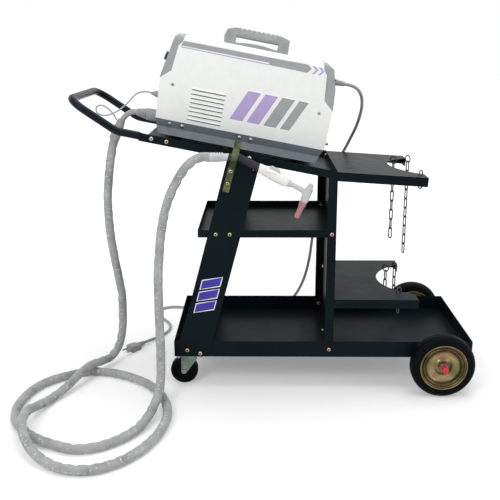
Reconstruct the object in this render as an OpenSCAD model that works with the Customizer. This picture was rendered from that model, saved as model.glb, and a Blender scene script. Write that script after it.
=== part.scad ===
// Wheeled workshop cart carrying an inverter welder with its torch and cords.
// X runs from the casters to the large wheels, Y across the cart, Z up. The floor is Z = 0.
// Modules draw in the cart frame, whose X = 0 is the caster end of the bottom tray.

/* [Cart body] */
// Length of the bottom tray
cart_l = 715; // [680:1:760]
// Outer width of the bottom tray
cart_w = 335; // [320:1:360]
// Sheet thickness of trays, shelves and panel
sheet = 1.5; // [1:0.1:2]
// Height of the bottom tray's walls
tray_wall = 40; // [34:1:50]
// X of the middle shelf's open end
shelf_x = 62; // [50:1:75]
// Height of the middle shelf's underside
shelf_z = 378; // [350:1:400]
// Height of the middle shelf's walls
shelf_wall = 18; // [16:1:26]
// X of the rear panel's outer face
panel_x = 382; // [370:1:395]
// Width of the rear panel's side flanges
panel_flange = 21; // [18:1:26]
// Height of the rear panel's top edge
panel_top = 533; // [528:1:538]

/* [Leaning legs] */
// Angle of the legs from upright
leg_lean = 14.8; // [12:0.1:16]
// Width of a leg across its length
leg_w = 74.5; // [68:0.5:80]
// Thickness of a leg
leg_t = 2; // [1.5:0.1:3]
// X of a leg's lower edge corner
leg_x = 6; // [4:1:12]
// Height of a leg's rounded top above the top tray's flange
leg_tab = 5; // [3:1:10]

/* [Top tray and push handle] */
// Slope of the top tray
tray_slope = 11.1; // [9:0.1:12]
// Length of the top tray's floor
slope_l = 449; // [445:1:460]
// Height of the top tray's floor where it meets the rear panel
slope_z = 515.7; // [512:0.1:518]
// Height of the top tray's side flanges
slope_wall = 18; // [16:1:22]
// Diameter of the handle tube
tube_d = 18; // [16:1:19]
// X of the handle's crossbar
handle_x = -220; // [-240:1:-205]
// Height of the handle's crossbar
handle_z = 692; // [685:1:710]
// Bend radius at the handle's corners
handle_bend = 42; // [34:1:50]
// Width of a cable hook's bar
hook_w = 15; // [12:1:18]
// Thickness of a cable hook's bar
hook_t = 3; // [2.5:0.1:4]
// Gap between a cable hook's upper arm and the leg
hook_gap = 22; // [21.5:0.5:24]

/* [Gas bottle shelves] */
// Height of the lower shelf's top
low_shelf_z = 227; // [215:1:240]
// Reach of the lower shelf behind the rear panel
low_shelf_l = 198; // [190:1:205]
// Height of the upper shelf's top at the rear panel
high_shelf_z = 531.5; // [526:0.5:532.5]
// Reach of the upper shelf along its slope
high_shelf_l = 205; // [196:1:212]
// Droop of the upper shelf
high_shelf_droop = 3.8; // [2:0.1:5]
// Depth of the shelves' downturned flanges
shelf_flange = 21; // [18:1:26]
// Radius of the bottle cut-outs
cutout_r = 140; // [130:1:142]
// X of the lower cut-out's centre
low_cutout_x = 645; // [642:1:652]
// Distance from the rear panel to the upper cut-out's centre
high_cutout_l = 279; // [276:1:284]
// Wire diameter of the retaining chains
wire_d = 3; // [2.5:0.1:3.2]
// Inner length of a chain link
link_inner = 25; // [22:1:28]

/* [Wheels] */
// Radius of a large wheel
wheel_r = 76; // [70:1:80]
// Width of a large wheel's tyre
tyre_w = 39; // [34:1:44]
// Radius of the steel rim
rim_r = 55.5; // [50:0.5:58]
// X of the axle
axle_x = 638; // [632:1:640]
// Diameter of the axle
axle_d = 12; // [10:1:14]
// Gap between the tray and a large wheel
wheel_gap = 10; // [8:1:14]
// Length of the axle beyond a wheel's hub
axle_end = 9; // [8:1:12]
// Radius of a caster's wheel
caster_r = 33.5; // [30:0.5:35]
// Width of a caster's wheel
caster_w = 24; // [20:1:26]
// X of the casters' swivel axes
caster_x = 35; // [34:1:45]
// Distance of the swivel axes from the cart's centre plane
caster_y = 129.5; // [120:0.5:132]
// Trail from the swivel axis to the wheel's axle
caster_trail = 15; // [12:1:17]

/* [Welder case] */
// Length of the case
case_l = 406; // [396:1:412]
// Width of the case
case_w = 160; // [150:1:170]
// Height of the case without its feet
case_h = 229; // [222:1:236]
// Height of the feet
foot_h = 13; // [10:1:16]
// Gap between the case's rear and the rear panel
case_back = 34; // [30:1:44]
// Thickness of the steel cover
skin = 1.2; // [1:0.1:1.6]
// Thickness of the plastic bezels
bezel_t = 3; // [2.5:0.1:4]
// Radius of the cover's long top edges
case_edge = 14; // [10:1:18]
// Length of the carry handle
grip_l = 153; // [145:1:165]
// Height of the carry handle above the cover
grip_h = 38; // [32:1:40]
// Diameter of the fan's blades
fan_d = 84; // [70:1:90]
// Diameter of the current knob
knob_d = 24; // [20:1:28]

/* [Torch and cords] */
// Diameter of the torch's ceramic cup
cup_d = 15; // [13:1:18]
// Length of the ceramic cup
cup_l = 40; // [34:1:46]
// Diameter of the torch lead's jacket
lead_d = 21; // [18:0.5:22]
// Diameter of the bare lead between its splitter boot and its plug
tail_d = 13; // [11:0.5:14]
// Diameter of the trigger wire
wire_thin_d = 3.6; // [3:0.1:4]
// Diameter of the power cord
power_d = 8; // [7:0.5:9]

/* [Fasteners and fits] */
// Diameter of the frame bolts
bolt_d = 6; // [5:0.5:7]
// Clearance round a bolt in its hole
hole_gap = 0.3; // [0.2:0.1:0.5]
// Radial clearance of everything that turns on a pin
turn_gap = 0.05; // [0.03:0.01:0.09]
// Gap between faces that move past each other
face_gap = 0.3; // [0.2:0.1:0.5]

/* [Hidden] */
$fn = 48;
e = 1;                                    // overshoot of a cut

powder = [0.09, 0.11, 0.13];
zinc = [0.75, 0.74, 0.70];
olive = [0.45, 0.44, 0.25];
chromate = [0.72, 0.62, 0.32];
rubber = [0.07, 0.07, 0.08];
case_white = [0.90, 0.90, 0.88];
case_grey = [0.52, 0.52, 0.53];

// Heights and half widths of the nested sheet pieces: each fits inside the one before
tray_z = wheel_r + axle_d / 2;
tray_half = cart_w / 2;
panel_half = tray_half - sheet;
inner_half = panel_half - sheet;
leg_z = tray_z + 3;
tray_top = tray_z + tray_wall;
joggle_z = [tray_top + 4, tray_top + 12];

// The top tray's frame: origin where its floor meets the rear panel, +X down the slope
slope_x = panel_x - sheet;
flange_n = slope_wall - sheet;
flange_l = slope_l + 6;
function slope_to_cart(s, y, n) = [
    slope_x + s * cos(tray_slope) + n * sin(tray_slope),
    y,
    slope_z - s * sin(tray_slope) + n * cos(tray_slope)
];
function cart_to_slope(x, z) = [
    (x - slope_x) * cos(tray_slope) - (z - slope_z) * sin(tray_slope),
    (x - slope_x) * sin(tray_slope) + (z - slope_z) * cos(tray_slope)
];
module on_slope() translate([slope_x, 0, slope_z]) rotate([0, tray_slope, 0]) children();

// A leg's frame: origin at its lower corner, +X across the leg, +Z along it
module on_leg() translate([leg_x, 0, leg_z]) rotate([0, leg_lean, 0]) children();
leg_top = (slope_z - leg_z + (slope_x - leg_x) * tan(tray_slope)
    + (flange_n + leg_tab) / cos(tray_slope)) / (cos(leg_lean) + sin(leg_lean) * tan(tray_slope));
leg_height = leg_top + leg_w * tan(leg_lean - tray_slope);

// The upper gas shelf's frame: origin at the rear panel's outer face, +X down its droop
module on_high_shelf() translate([panel_x, 0, high_shelf_z]) rotate([0, high_shelf_droop, 0]) children();

// The welder's frame: origin on the top tray below the case's front end
welder_s = -case_back - case_l;
module on_welder() on_slope() translate([welder_s, 0, 0]) children();
case_top = foot_h + case_h;
case_mid = foot_h + 127;                  // height where the front and rear faces stand furthest out

// Both sides of the cart
module both_sides() {
    children();
    mirror([0, 1, 0]) children();
}

// The whole part stands with the middle of its length, without cords, at X = 0
row_x = (handle_x - tube_d / 2 + max(cart_l, axle_x + wheel_r)) / 2;
module placed() translate([-row_x, 0, 0]) children();

// ---- Frame bolts: every site serves the holes, the bolts and the nuts ----

head_r = bolt_d * 0.8;
head_h = 3.4;
nut_h = 5;
leg_pitch = 32;
leg_foot_bolts = [21, 21 + leg_pitch];    // across the leg
leg_foot_u = 21;                          // along the leg
shelf_bolts_x = [104, 104 + leg_pitch];
shelf_bolt_z = shelf_z + 8.5;
leg_head_bolts = [16, 16 + leg_pitch];
panel_bolt_x = panel_x - panel_flange / 2;
foot_bolt_z = tray_z + 20;
hook_v = 15;
hook_bolts_u = [leg_top - 78, leg_top - 49];
handle_bolts_s = [-slope_l + 22, -slope_l + 56];
handle_bolt_n = 8.5;
web_bolt_y = 147;
low_web_z = low_shelf_z - 12;
high_web_z = high_shelf_z - 9;
caster_holes = [26, 21.5];                  // half spacings along X and Y

function leg_point(v, u) = [
    leg_x + v * cos(leg_lean) + u * sin(leg_lean),
    leg_z - v * sin(leg_lean) + u * cos(leg_lean)
];
function handle_bolt(s) = [
    slope_to_cart(s, 0, handle_bolt_n).x,
    slope_to_cart(s, 0, handle_bolt_n).z
];
tab_t = 4;
// The leg's head bolts stand at the same height above the top tray as the handle's
function head_u(v) = leg_top + v * tan(leg_lean - tray_slope)
    - (flange_n + leg_tab - handle_bolt_n) / cos(leg_lean - tray_slope);
// Sideways bolts: [x, z], half width of the outer face, grip
side_bolts = concat(
    [for (v = leg_foot_bolts) [leg_point(v, leg_foot_u), tray_half + leg_t, leg_t + sheet]],
    [for (x = shelf_bolts_x) [[x, shelf_bolt_z], inner_half + leg_t, leg_t + sheet]],
    [for (v = leg_head_bolts) [leg_point(v, head_u(v)), inner_half + leg_t, leg_t + sheet]],
    [for (u = hook_bolts_u) [leg_point(hook_v, u), inner_half + leg_t + hook_t, leg_t + hook_t]],
    [for (s = handle_bolts_s) [handle_bolt(s), inner_half, sheet + tab_t]],
    [[[panel_bolt_x, shelf_bolt_z], panel_half, 2 * sheet]],
    [[[panel_bolt_x, foot_bolt_z], tray_half, 2 * sheet]]
);
module side_sites() both_sides() for (b = side_bolts)
    translate([b[0].x, -b[1], b[0].y]) rotate([-90, 0, 0]) {
        $grip = b[2];
        children();
    }
module web_sites() both_sides() for (z = [low_web_z, high_web_z])
    translate([panel_x - sheet, web_bolt_y, z]) rotate([0, 90, 0]) {
        $grip = 2 * sheet;
        children();
    }
module floor_sites() {
    translate([panel_bolt_x, 0, tray_z + 2 * sheet]) rotate([180, 0, 0]) {
        $grip = 2 * sheet;
        children();
    }
    both_sides() for (i = [-1, 1], j = [-1, 1])
        translate([caster_x + i * caster_holes.x, caster_y + j * caster_holes.y, tray_z + sheet])
            rotate([180, 0, 0]) {
                $grip = sheet + caster_plate_t;
                children();
            }
}
module all_sites() {
    side_sites() children();
    web_sites() children();
    floor_sites() children();
}
module bolt_hole() translate([0, 0, -e]) cylinder(r = bolt_d / 2 + hole_gap, h = $grip + 2 * e);
module bolt() {
    rotate_extrude() polygon([
        [0, -head_h], [head_r * 0.55, -head_h], [head_r * 0.85, -head_h * 0.75],
        [head_r, -head_h * 0.4], [head_r, 0], [0, 0]
    ]);
    cylinder(r = bolt_d / 2, h = $grip + nut_h + 2);
}
module nut() translate([0, 0, $grip]) difference() {
    cylinder(r = bolt_d * 0.95, h = nut_h, $fn = 6);
    translate([0, 0, -e]) cylinder(r = bolt_d / 2 + turn_gap, h = nut_h + 2 * e);
}
module frame_bolts() color(zinc) all_sites() bolt();
module frame_nuts() color(zinc) all_sites() nut();

// ---- Folded sheet pieces ----

// Tray with its underside at Z = 0, from X = 0, with walls at the ends that are asked for
module tray(l, half, wall, low_end = true, high_end = true) difference() {
    translate([0, -half, 0]) cube([l, 2 * half, wall]);
    translate([low_end ? sheet : -e, -half + sheet, sheet])
        cube([l - (low_end ? sheet : -e) - (high_end ? sheet : -e), 2 * (half - sheet), wall]);
}

module bottom_tray() color(powder) difference() {
    translate([0, 0, tray_z]) tray(cart_l, tray_half, tray_wall);
    side_sites() bolt_hole();
    floor_sites() bolt_hole();
}

// The shelf's walls step in behind the panel's flanges, where they are bolted
module middle_shelf() color(powder) difference() {
    translate([shelf_x, 0, shelf_z]) tray(slope_x - shelf_x, inner_half, shelf_wall, true, false);
    side_sites() bolt_hole();
}

module welder_tray() color(powder) difference() {
    on_slope() difference() {
        translate([-flange_l, 0, -sheet]) tray(flange_l - 0.5, inner_half, slope_wall, false, false);
        translate([-flange_l - e, -inner_half + sheet, -sheet - e])
            cube([flange_l - slope_l + e, 2 * (inner_half - sheet), sheet + 2 * e]);
    }
    side_sites() bolt_hole();
    translate([slope_x, -tray_half, slope_z - 40]) cube([40, 2 * tray_half, 80]);
}

// The leg's section across Y: it steps in above the bottom tray's wall
module leg_section() rotate([90, 0, 90]) linear_extrude(height = cart_l) polygon([
    [-tray_half - leg_t, 0], [-tray_half, 0], [-tray_half, joggle_z[0]],
    [-inner_half, joggle_z[1]], [-inner_half, 900], [-inner_half - leg_t, 900],
    [-inner_half - leg_t, joggle_z[1] - 1], [-tray_half - leg_t, joggle_z[0] - 1]
]);
leg_chamfer = 7;
module leg_outline() on_leg() translate([0, -100, 0]) rotate([90, 0, 0])
    linear_extrude(height = tray_half) polygon([
        [0, 0], [leg_w, leg_w * tan(leg_lean)],
        [leg_w, leg_height - leg_chamfer], [leg_w - leg_chamfer, leg_height],
        [leg_chamfer, leg_top], [0, leg_top - leg_chamfer]
    ]);
module leg() color(powder) difference() {
    intersection() {
        leg_section();
        leg_outline();
    }
    side_sites() bolt_hole();
    on_leg() for (p = [[hook_v, leg_top - 107], [leg_w - 14, leg_top - 34]])
        translate([p.x, -tray_half, p.y]) rotate([90, 0, 0])
            cylinder(r = bolt_d / 2, h = 40, center = true);
}
module near_leg() leg();
module far_leg() mirror([0, 1, 0]) leg();

module rear_panel() color(powder) difference() {
    union() {
        translate([slope_x, -panel_half, tray_z + sheet])
            cube([sheet, 2 * panel_half, panel_top - tray_z - sheet]);
        both_sides() translate([panel_x - panel_flange, -panel_half, tray_z + sheet])
            cube([panel_flange, sheet, panel_top - tray_z - sheet]);
        translate([panel_x - panel_flange, -panel_half, tray_z + sheet])
            cube([panel_flange, 2 * panel_half, sheet]);
    }
    side_sites() bolt_hole();
    web_sites() bolt_hole();
    floor_sites() bolt_hole();
}

// Bottle shelf with its top face at Z = 0, flanges turned down and a round bite at its open end
module bottle_shelf(l, cut_x, low_end = true) difference() {
    mirror([0, 0, 1]) tray(l, panel_half, shelf_flange, low_end);
    translate([cut_x, 0, -shelf_flange - e]) cylinder(r = cutout_r, h = shelf_flange + 2 * e, $fn = 96);
}
module lower_gas_shelf() color(powder) difference() {
    translate([panel_x, 0, low_shelf_z]) bottle_shelf(low_shelf_l, low_cutout_x - panel_x);
    web_sites() bolt_hole();
    low_ring_sites() ring_hole();
}
// The upper shelf droops, but its bolted flange stays plumb
module upper_gas_shelf() color(powder) difference() {
    union() {
        difference() {
            on_high_shelf() translate([-3, 0, 0]) bottle_shelf(high_shelf_l + 3, high_cutout_l + 3, false);
            translate([0, -tray_half, high_shelf_z - 60]) cube([panel_x, 2 * tray_half, 80]);
        }
        translate([panel_x, -panel_half, high_shelf_z - shelf_flange])
            cube([sheet, 2 * panel_half, shelf_flange - sheet / 2]);
    }
    web_sites() bolt_hole();
    high_ring_sites() ring_hole();
}

// ---- Push handle: one bent tube with flattened, bolted ends ----

// Path with every inner corner replaced by an arc of radius r in n steps
function unit(v) = v / norm(v);
function corner(a, b, c, r, n) = let (
    u = unit(a - b), w = unit(c - b), half = acos(u * w) / 2,
    reach = r / tan(half), centre = b + unit(u + w) * r / sin(half),
    p = b + u * reach - centre, q = b + w * reach - centre, sweep = 180 - 2 * half
) [for (i = [0:n]) centre + (p * sin(sweep * (1 - i / n)) + q * sin(sweep * i / n)) / sin(sweep)];
function rounded(p, r, n) = concat(
    [p[0]],
    [for (i = [1:len(p) - 2]) each corner(p[i - 1], p[i], p[i + 1], r[i - 1], n)],
    [p[len(p) - 1]]
);

// Tube of one polyhedron along a path, with a radius for each point and least twist
function tangent(p, i) = unit(p[min(i + 1, len(p) - 1)] - p[max(i - 1, 0)]);
function across(t) = unit(cross(t, abs(t.z) < 0.8 ? [0, 0, 1] : [1, 0, 0]));
function level(n, t) = unit(n - (n * t) * t);
function normals(p) = [
    for (i = 0, n = across(tangent(p, 0)); i < len(p);
        i = i + 1, n = level(n, tangent(p, min(i, len(p) - 1)))) n
];
module tube(p, r, sides) {
    n = normals(p);
    last = len(p) - 1;
    points = [for (i = [0:last], k = [0:sides - 1]) let (t = tangent(p, i), a = 360 * k / sides)
        p[i] + r[i] * (n[i] * cos(a) + cross(t, n[i]) * sin(a))];
    walls = [for (i = [0:last - 1], k = [0:sides - 1]) let (
        a = i * sides + k, b = i * sides + (k + 1) % sides
    ) each [[a, a + sides, b], [b, a + sides, b + sides]]];
    caps = [for (k = [1:sides - 2]) each [
        [0, k, k + 1], [last * sides, last * sides + k + 1, last * sides + k]
    ]];
    polyhedron(points = points, faces = concat(walls, caps), convexity = 10);
}
function fill(n, v) = [for (i = [1:n]) v];

handle_half = inner_half - sheet - tube_d / 2 - 0.5;
handle_top = cart_to_slope(handle_x, handle_z);
handle_start = -flange_l - 1;
handle_knee = handle_start - 52;
handle_path = rounded([
    [handle_start, -handle_half, handle_bolt_n], [handle_knee, -handle_half, handle_bolt_n],
    [handle_top.x, -handle_half, handle_top.y], [handle_top.x, handle_half, handle_top.y],
    [handle_knee, handle_half, handle_bolt_n], [handle_start, handle_half, handle_bolt_n]
], [60, handle_bend, handle_bend, 60], 7);
tab_l = handle_bolts_s[1] + 9 - handle_start;
module push_handle() color(powder) difference() {
    on_slope() {
        tube(handle_path, fill(len(handle_path), tube_d / 2), 20);
        both_sides() {
            translate([handle_start, -inner_half + sheet, handle_bolt_n - 8]) cube([tab_l, tab_t, 16]);
            translate([handle_start - 3, -inner_half + sheet, handle_bolt_n - 8])
                cube([9, tube_d / 2 + 1, 16]);
        }
    }
    side_sites() bolt_hole();
}

// ---- Cable hooks: flat bars bolted to the legs, their upper arms standing off ----

hook_foot = leg_top - 98;
hook_tip = leg_top + 25;
hook_rise = 20.5;                         // the joggle's height over its gap
hook_slack = hook_t * tan(atan(hook_gap / hook_rise) / 2);
// The torch's stem rests on the joggle, clear of the bolt heads beside it
stem_r = 8.6;
stem_z = 567;
stem_off = head_h + face_gap + stem_r;
hook_bend = (stem_z - face_gap - stem_r / cos(atan(hook_rise / hook_gap)) - leg_z
    + (hook_v - hook_w / 2) * sin(leg_lean)) / cos(leg_lean) - hook_rise * stem_off / hook_gap;
module hook() on_leg() translate([hook_v + hook_w / 2, -inner_half - leg_t, 0]) rotate([90, 0, -90])
    linear_extrude(height = hook_w) polygon([
        [0, hook_foot], [0, hook_bend], [hook_gap, hook_bend + hook_rise], [hook_gap, hook_tip],
        [hook_gap + hook_t, hook_tip], [hook_gap + hook_t, hook_bend + hook_rise - hook_slack],
        [hook_t, hook_bend - hook_slack], [hook_t, hook_foot]
    ]);
module cable_hooks() color(olive) difference() {
    both_sides() hook();
    side_sites() bolt_hole();
}

// ---- Retaining chains ----

link_r = wire_d + 1;                      // half width of a link on its wire's centre line
link_pitch = link_inner - 0.4;
link_side = link_inner / 2 + wire_d / 2 - link_r;
ring_r = 9;
module half_ring(r) rotate([90, 0, 0]) rotate_extrude(angle = 180, $fn = 32) translate([r, 0])
    circle(d = wire_d, $fn = 16);
module link() for (s = [0, 180]) rotate([0, s, 0]) {
    translate([0, 0, link_side]) half_ring(link_r);
    translate([link_r, 0, -link_side]) cylinder(d = wire_d, h = 2 * link_side, $fn = 16);
}
// Strand of links hanging from a ring whose centre is the origin
first_link = -ring_r + wire_d + face_gap - link_r - link_side;
module strand(count) {
    for (s = [0, 180]) rotate([0, s, 0]) half_ring(ring_r);
    for (i = [0:count - 1]) translate([0, 0, first_link - i * link_pitch])
        rotate([0, 0, 90 + 90 * (i % 2)]) link();
}
module ring_hole() translate([-ring_r, 0, -5]) cylinder(d = wire_d + 2, h = 10);
// Rings sit on the edge of the cut-outs, at these angles from the cut-out's centre: [angle, links]
high_rings = [[144, 8], [119.5, 10], [-126, 1]];
low_rings = [[137, 4], [122, 4], [-136, 2]];
ring_reach = cutout_r - 1;
module high_ring_sites() for (ring = high_rings) {
    along = high_cutout_l + ring_reach * cos(ring[0]);
    $links = ring[1];
    translate([
        panel_x + along * cos(high_shelf_droop), ring_reach * sin(ring[0]),
        high_shelf_z - along * sin(high_shelf_droop) - sheet / 2
    ]) rotate([0, 0, ring[0] + 180]) children();
}
module low_ring_sites() for (ring = low_rings) {
    $links = ring[1];
    translate([low_cutout_x, 0, low_shelf_z - sheet / 2]) rotate([0, 0, ring[0]])
        translate([ring_reach, 0, 0]) rotate([0, 0, 180]) children();
}
module upper_chain() color(zinc) high_ring_sites() strand($links);
module lower_chain() color(zinc) low_ring_sites() strand($links);

// ---- Axle and large wheels ----

axle_r = axle_d / 2;
wheel_in = tray_half + wheel_gap;
wheel_out = wheel_in + tyre_w;
washer_t = 2;
module axle() color(zinc) translate([axle_x, 0, wheel_r]) rotate([90, 0, 0])
    cylinder(r = axle_r, h = 2 * (wheel_out + washer_t + axle_end), center = true);

// Plates under the tray, welded to it, that the axle runs through
bracket_t = 4;
bracket_y = tray_half - bracket_t;
module axle_brackets() color(powder) both_sides() difference() {
    translate([axle_x, -bracket_y, 0]) rotate([90, 0, 0]) linear_extrude(height = bracket_t) union() {
        translate([0, wheel_r]) circle(r = axle_r + 8);
        translate([-axle_r - 16, tray_z - 4]) square([2 * axle_r + 32, 4]);
        translate([-axle_r - 8, wheel_r]) square([2 * axle_r + 16, tray_z - wheel_r]);
    }
    translate([axle_x, -bracket_y, wheel_r]) rotate([90, 0, 0])
        cylinder(r = axle_r + 0.02, h = 3 * bracket_t, center = true);
    translate([axle_x - 60, -bracket_y - 20, tray_z]) cube([120, 40, 40]);
}

// A spacer against the tray's wall and an outer washer keep each wheel in its place
module axle_washers() color(zinc) both_sides() translate([axle_x, 0, wheel_r]) rotate([90, 0, 0])
    difference() {
        union() {
            translate([0, 0, wheel_out + face_gap]) cylinder(r = axle_r + 3, h = washer_t);
            translate([0, 0, tray_half]) cylinder(r = axle_r + 2.5, h = wheel_gap - face_gap);
        }
        cylinder(r = axle_r + 0.02, h = 2 * wheel_out);
    }

cap_r = 8;
cap_l = 12;
module axle_caps() color([0.78, 0.08, 0.10]) both_sides()
    translate([axle_x, -wheel_out - face_gap - washer_t, wheel_r]) rotate([90, 0, 0]) difference() {
        rotate_extrude() polygon([
            [0, 0], [cap_r, 0], [cap_r, cap_l], [cap_r - 2.5, cap_l + 2.5], [0, cap_l + 3]
        ]);
        translate([0, 0, -e]) cylinder(r = axle_r + 0.02, h = axle_end + e - face_gap);
    }

// Tyre section from the wheel's inner face outwards, with rounded shoulders and two tread grooves
module tyre() color(rubber) translate([axle_x, -wheel_in, wheel_r]) rotate([90, 0, 0])
    rotate_extrude($fn = 96) difference() {
        union() {
            translate([rim_r, 0]) square([wheel_r - rim_r - 9, tyre_w]);
            translate([rim_r, 9]) square([wheel_r - rim_r, tyre_w - 18]);
            for (y = [9, tyre_w - 9]) translate([wheel_r - 9, y]) circle(r = 9);
        }
        for (y = [tyre_w / 2 - 6, tyre_w / 2 + 6]) translate([wheel_r - 1.5, y - 1]) square([3, 2]);
    }
module near_tyre() tyre();
module far_tyre() mirror([0, 1, 0]) tyre();

hub_r = axle_r + 6;
rim_t = 1.6;
// Distance from the hub, and depth below the wheel's side, of a pressed disc's outer face
disc = [
    [hub_r, 9], [hub_r + 4, 9], [hub_r + 10, 13], [rim_r * 0.62, 13.5], [rim_r * 0.74, 10],
    [rim_r * 0.80, 3], [rim_r * 0.86, 3], [rim_r * 0.90, 6], [rim_r - 2.5, 6]
];
function turned(p) = [for (i = [len(p) - 1:-1:0]) [p[i].x, tyre_w - p[i].y]];
module rim() color(chromate) translate([axle_x, -wheel_in, wheel_r]) rotate([90, 0, 0])
    rotate_extrude($fn = 96) difference() {
        half = concat([[axle_r + turn_gap, 0], [hub_r, 0]], disc, [[rim_r - 2.5, 0.4], [rim_r, 0.4]]);
        inner = [for (p = disc) p + [0, rim_t]];
        polygon(concat(half, turned(half)));
        polygon(concat(inner, turned(inner)));
    }
module near_rim() rim();
module far_rim() mirror([0, 1, 0]) rim();

// ---- Swivel casters ----

caster_plate_t = 2.5;
race_t = 3;
yoke_t = 2.5;
yoke_top = tray_z - caster_plate_t - race_t - face_gap;
yoke_half = caster_w / 2 + 1;
kingpin_r = 5;
caster_axle_r = 4;
module at_caster(x = 0, z = 0) translate([caster_x + x, -caster_y, z]) children();

module caster_plate() color(zinc) difference() {
    at_caster(0, tray_z) mirror([0, 0, 1]) {
        translate([-caster_holes.x - 6, -caster_holes.y - 6, 0])
            cube([2 * caster_holes.x + 12, 2 * caster_holes.y + 12, caster_plate_t]);
        cylinder(r = 17, h = caster_plate_t + race_t);
        cylinder(r = kingpin_r, h = tray_z - yoke_top + yoke_t + face_gap + 3);
        translate([0, 0, tray_z - yoke_top + yoke_t + face_gap]) cylinder(r = kingpin_r + 4, h = 3);
    }
    floor_sites() bolt_hole();
}
module caster_fork() color(chromate) at_caster() difference() {
    union() {
        translate([-caster_trail - 6, -yoke_half - yoke_t, yoke_top - yoke_t])
            cube([caster_trail + 24, 2 * (yoke_half + yoke_t), yoke_t]);
        for (y = [-yoke_half - yoke_t, yoke_half]) translate([0, y + yoke_t, 0]) rotate([90, 0, 0])
            linear_extrude(height = yoke_t) {
                polygon([
                    [-caster_trail - 6, yoke_top], [18, yoke_top], [18, yoke_top - 9],
                    [-caster_trail + 6.5, caster_r - 3], [-caster_trail - 7, caster_r]
                ]);
                translate([-caster_trail, caster_r]) circle(r = 7);
            }
    }
    translate([0, 0, yoke_top - yoke_t - e]) cylinder(r = kingpin_r + turn_gap, h = yoke_t + 2 * e);
    translate([-caster_trail, 0, caster_r]) rotate([90, 0, 0])
        cylinder(r = caster_axle_r + 0.02, h = 4 * yoke_half, center = true);
}
module caster_wheel() color(rubber) at_caster(-caster_trail, caster_r) rotate([90, 0, 0]) difference() {
    rotate_extrude($fn = 64) {
        translate([0, -caster_w / 2]) square([10, caster_w]);
        translate([0, -caster_w / 2 + 3]) square([caster_r - 8, caster_w - 6]);
        translate([caster_r - 10, -caster_w / 2 + 5]) square([10, caster_w - 10]);
        for (y = [-1, 1]) translate([caster_r - 5, y * (caster_w / 2 - 5)]) circle(r = 5);
        translate([caster_r - 10, -caster_w / 2]) square([5, caster_w]);
    }
    cylinder(r = caster_axle_r + turn_gap, h = caster_w + 2 * e, center = true);
}
module caster_axle() color(zinc) at_caster(-caster_trail, caster_r) rotate([90, 0, 0]) {
    cylinder(r = caster_axle_r, h = 2 * (yoke_half + yoke_t), center = true);
    for (s = [0, 1]) mirror([0, 0, s]) translate([0, 0, yoke_half + yoke_t])
        cylinder(r = 6, h = 3.5, $fn = 6);
}
module near_caster_plate() caster_plate();
module near_caster_fork() caster_fork();
module near_caster_wheel() caster_wheel();
module near_caster_axle() caster_axle();
module far_caster_plate() mirror([0, 1, 0]) caster_plate();
module far_caster_fork() mirror([0, 1, 0]) caster_fork();
module far_caster_wheel() mirror([0, 1, 0]) caster_wheel();
module far_caster_axle() mirror([0, 1, 0]) caster_axle();

// ---- Welder case ----

// Side view of the case, X along it and Y up from the top tray
outline = [
    [20, foot_h], [12.5, foot_h + 10], [5, foot_h + 34], [0, case_mid], [19.5, case_top - 7],
    [27, case_top], [case_l - 34, case_top], [case_l - 17, case_top - 11], [case_l - 4, case_top - 55],
    [case_l, case_mid], [case_l, foot_h + 38], [case_l - 9, foot_h + 18], [case_l - 17, foot_h]
];
bezel_foot = case_mid - 2;
bezel_run = 24;                           // the bezels' lower edges slope up over this length
bezel_rise = 21;
bezel_floor = 2.2;
patch = [
    [-e, bezel_foot - bezel_rise * e / bezel_run], [bezel_run, bezel_foot + bezel_rise],
    [31, case_top - 26], [39, case_top - 16], [43, case_top + e], [-e, case_top + e]
];
front_patch = patch;
rear_patch = [for (i = [len(patch) - 1:-1:0]) [case_l - patch[i].x, patch[i].y]];
module across_y(p, half) translate([0, half, 0]) rotate([90, 0, 0])
    linear_extrude(height = 2 * half) polygon(p);
// Cross section of the case less a margin, run along its whole length
module case_run(margin, from = -e, to = case_l + e) translate([from, 0, 0]) rotate([90, 0, 90])
    linear_extrude(height = to - from) {
        half = case_w / 2 - margin;
        top = case_top - margin;
        translate([-half, foot_h - 2 * e]) square([2 * half, top - foot_h + 2 * e - case_edge]);
        translate([-half + case_edge, foot_h]) square([2 * (half - case_edge), top - foot_h]);
        for (s = [-1, 1]) translate([s * (half - case_edge), top - case_edge]) circle(r = case_edge);
    }
louvre_rows = 8;
louvre_pitch = 9.9;
louvre_x = 78;
louvre_l = 78;
louvre_z = foot_h + 42;
module louvre_sites() both_sides() for (i = [0:louvre_rows - 1])
    translate([louvre_x, -case_w / 2, louvre_z + i * louvre_pitch]) children();
case_screw_sites = [[32, foot_h + 115], [case_l - 30, foot_h + 115]];
screw_r = 3.5;
module case_cover() color(case_white) on_welder() {
    difference() {
        intersection() {
            across_y(outline, case_w);
            case_run(0);
        }
        case_run(skin, -2 * e, case_l + 2 * e);
        across_y(front_patch, case_w);
        across_y(rear_patch, case_w);
        translate([-e, -case_w, foot_h - e]) cube([case_l + 2 * e, 2 * case_w, 1.5 + e]);
        louvre_sites() translate([0, -e, 0]) cube([louvre_l, skin + 2 * e, 2.6]);
        both_sides() for (p = case_screw_sites) translate([p.x, -case_w / 2, p.y]) rotate([90, 0, 0])
            cylinder(r = 2, h = 10, center = true);
    }
    louvre_sites() rotate([90, 0, 90]) linear_extrude(height = louvre_l)
        polygon([[skin / 2, 6.4], [0, 6.4], [-2.4, 3.4], [-2.4, 2.2], [0, 4.6], [skin / 2, 4.6]]);
}
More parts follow.
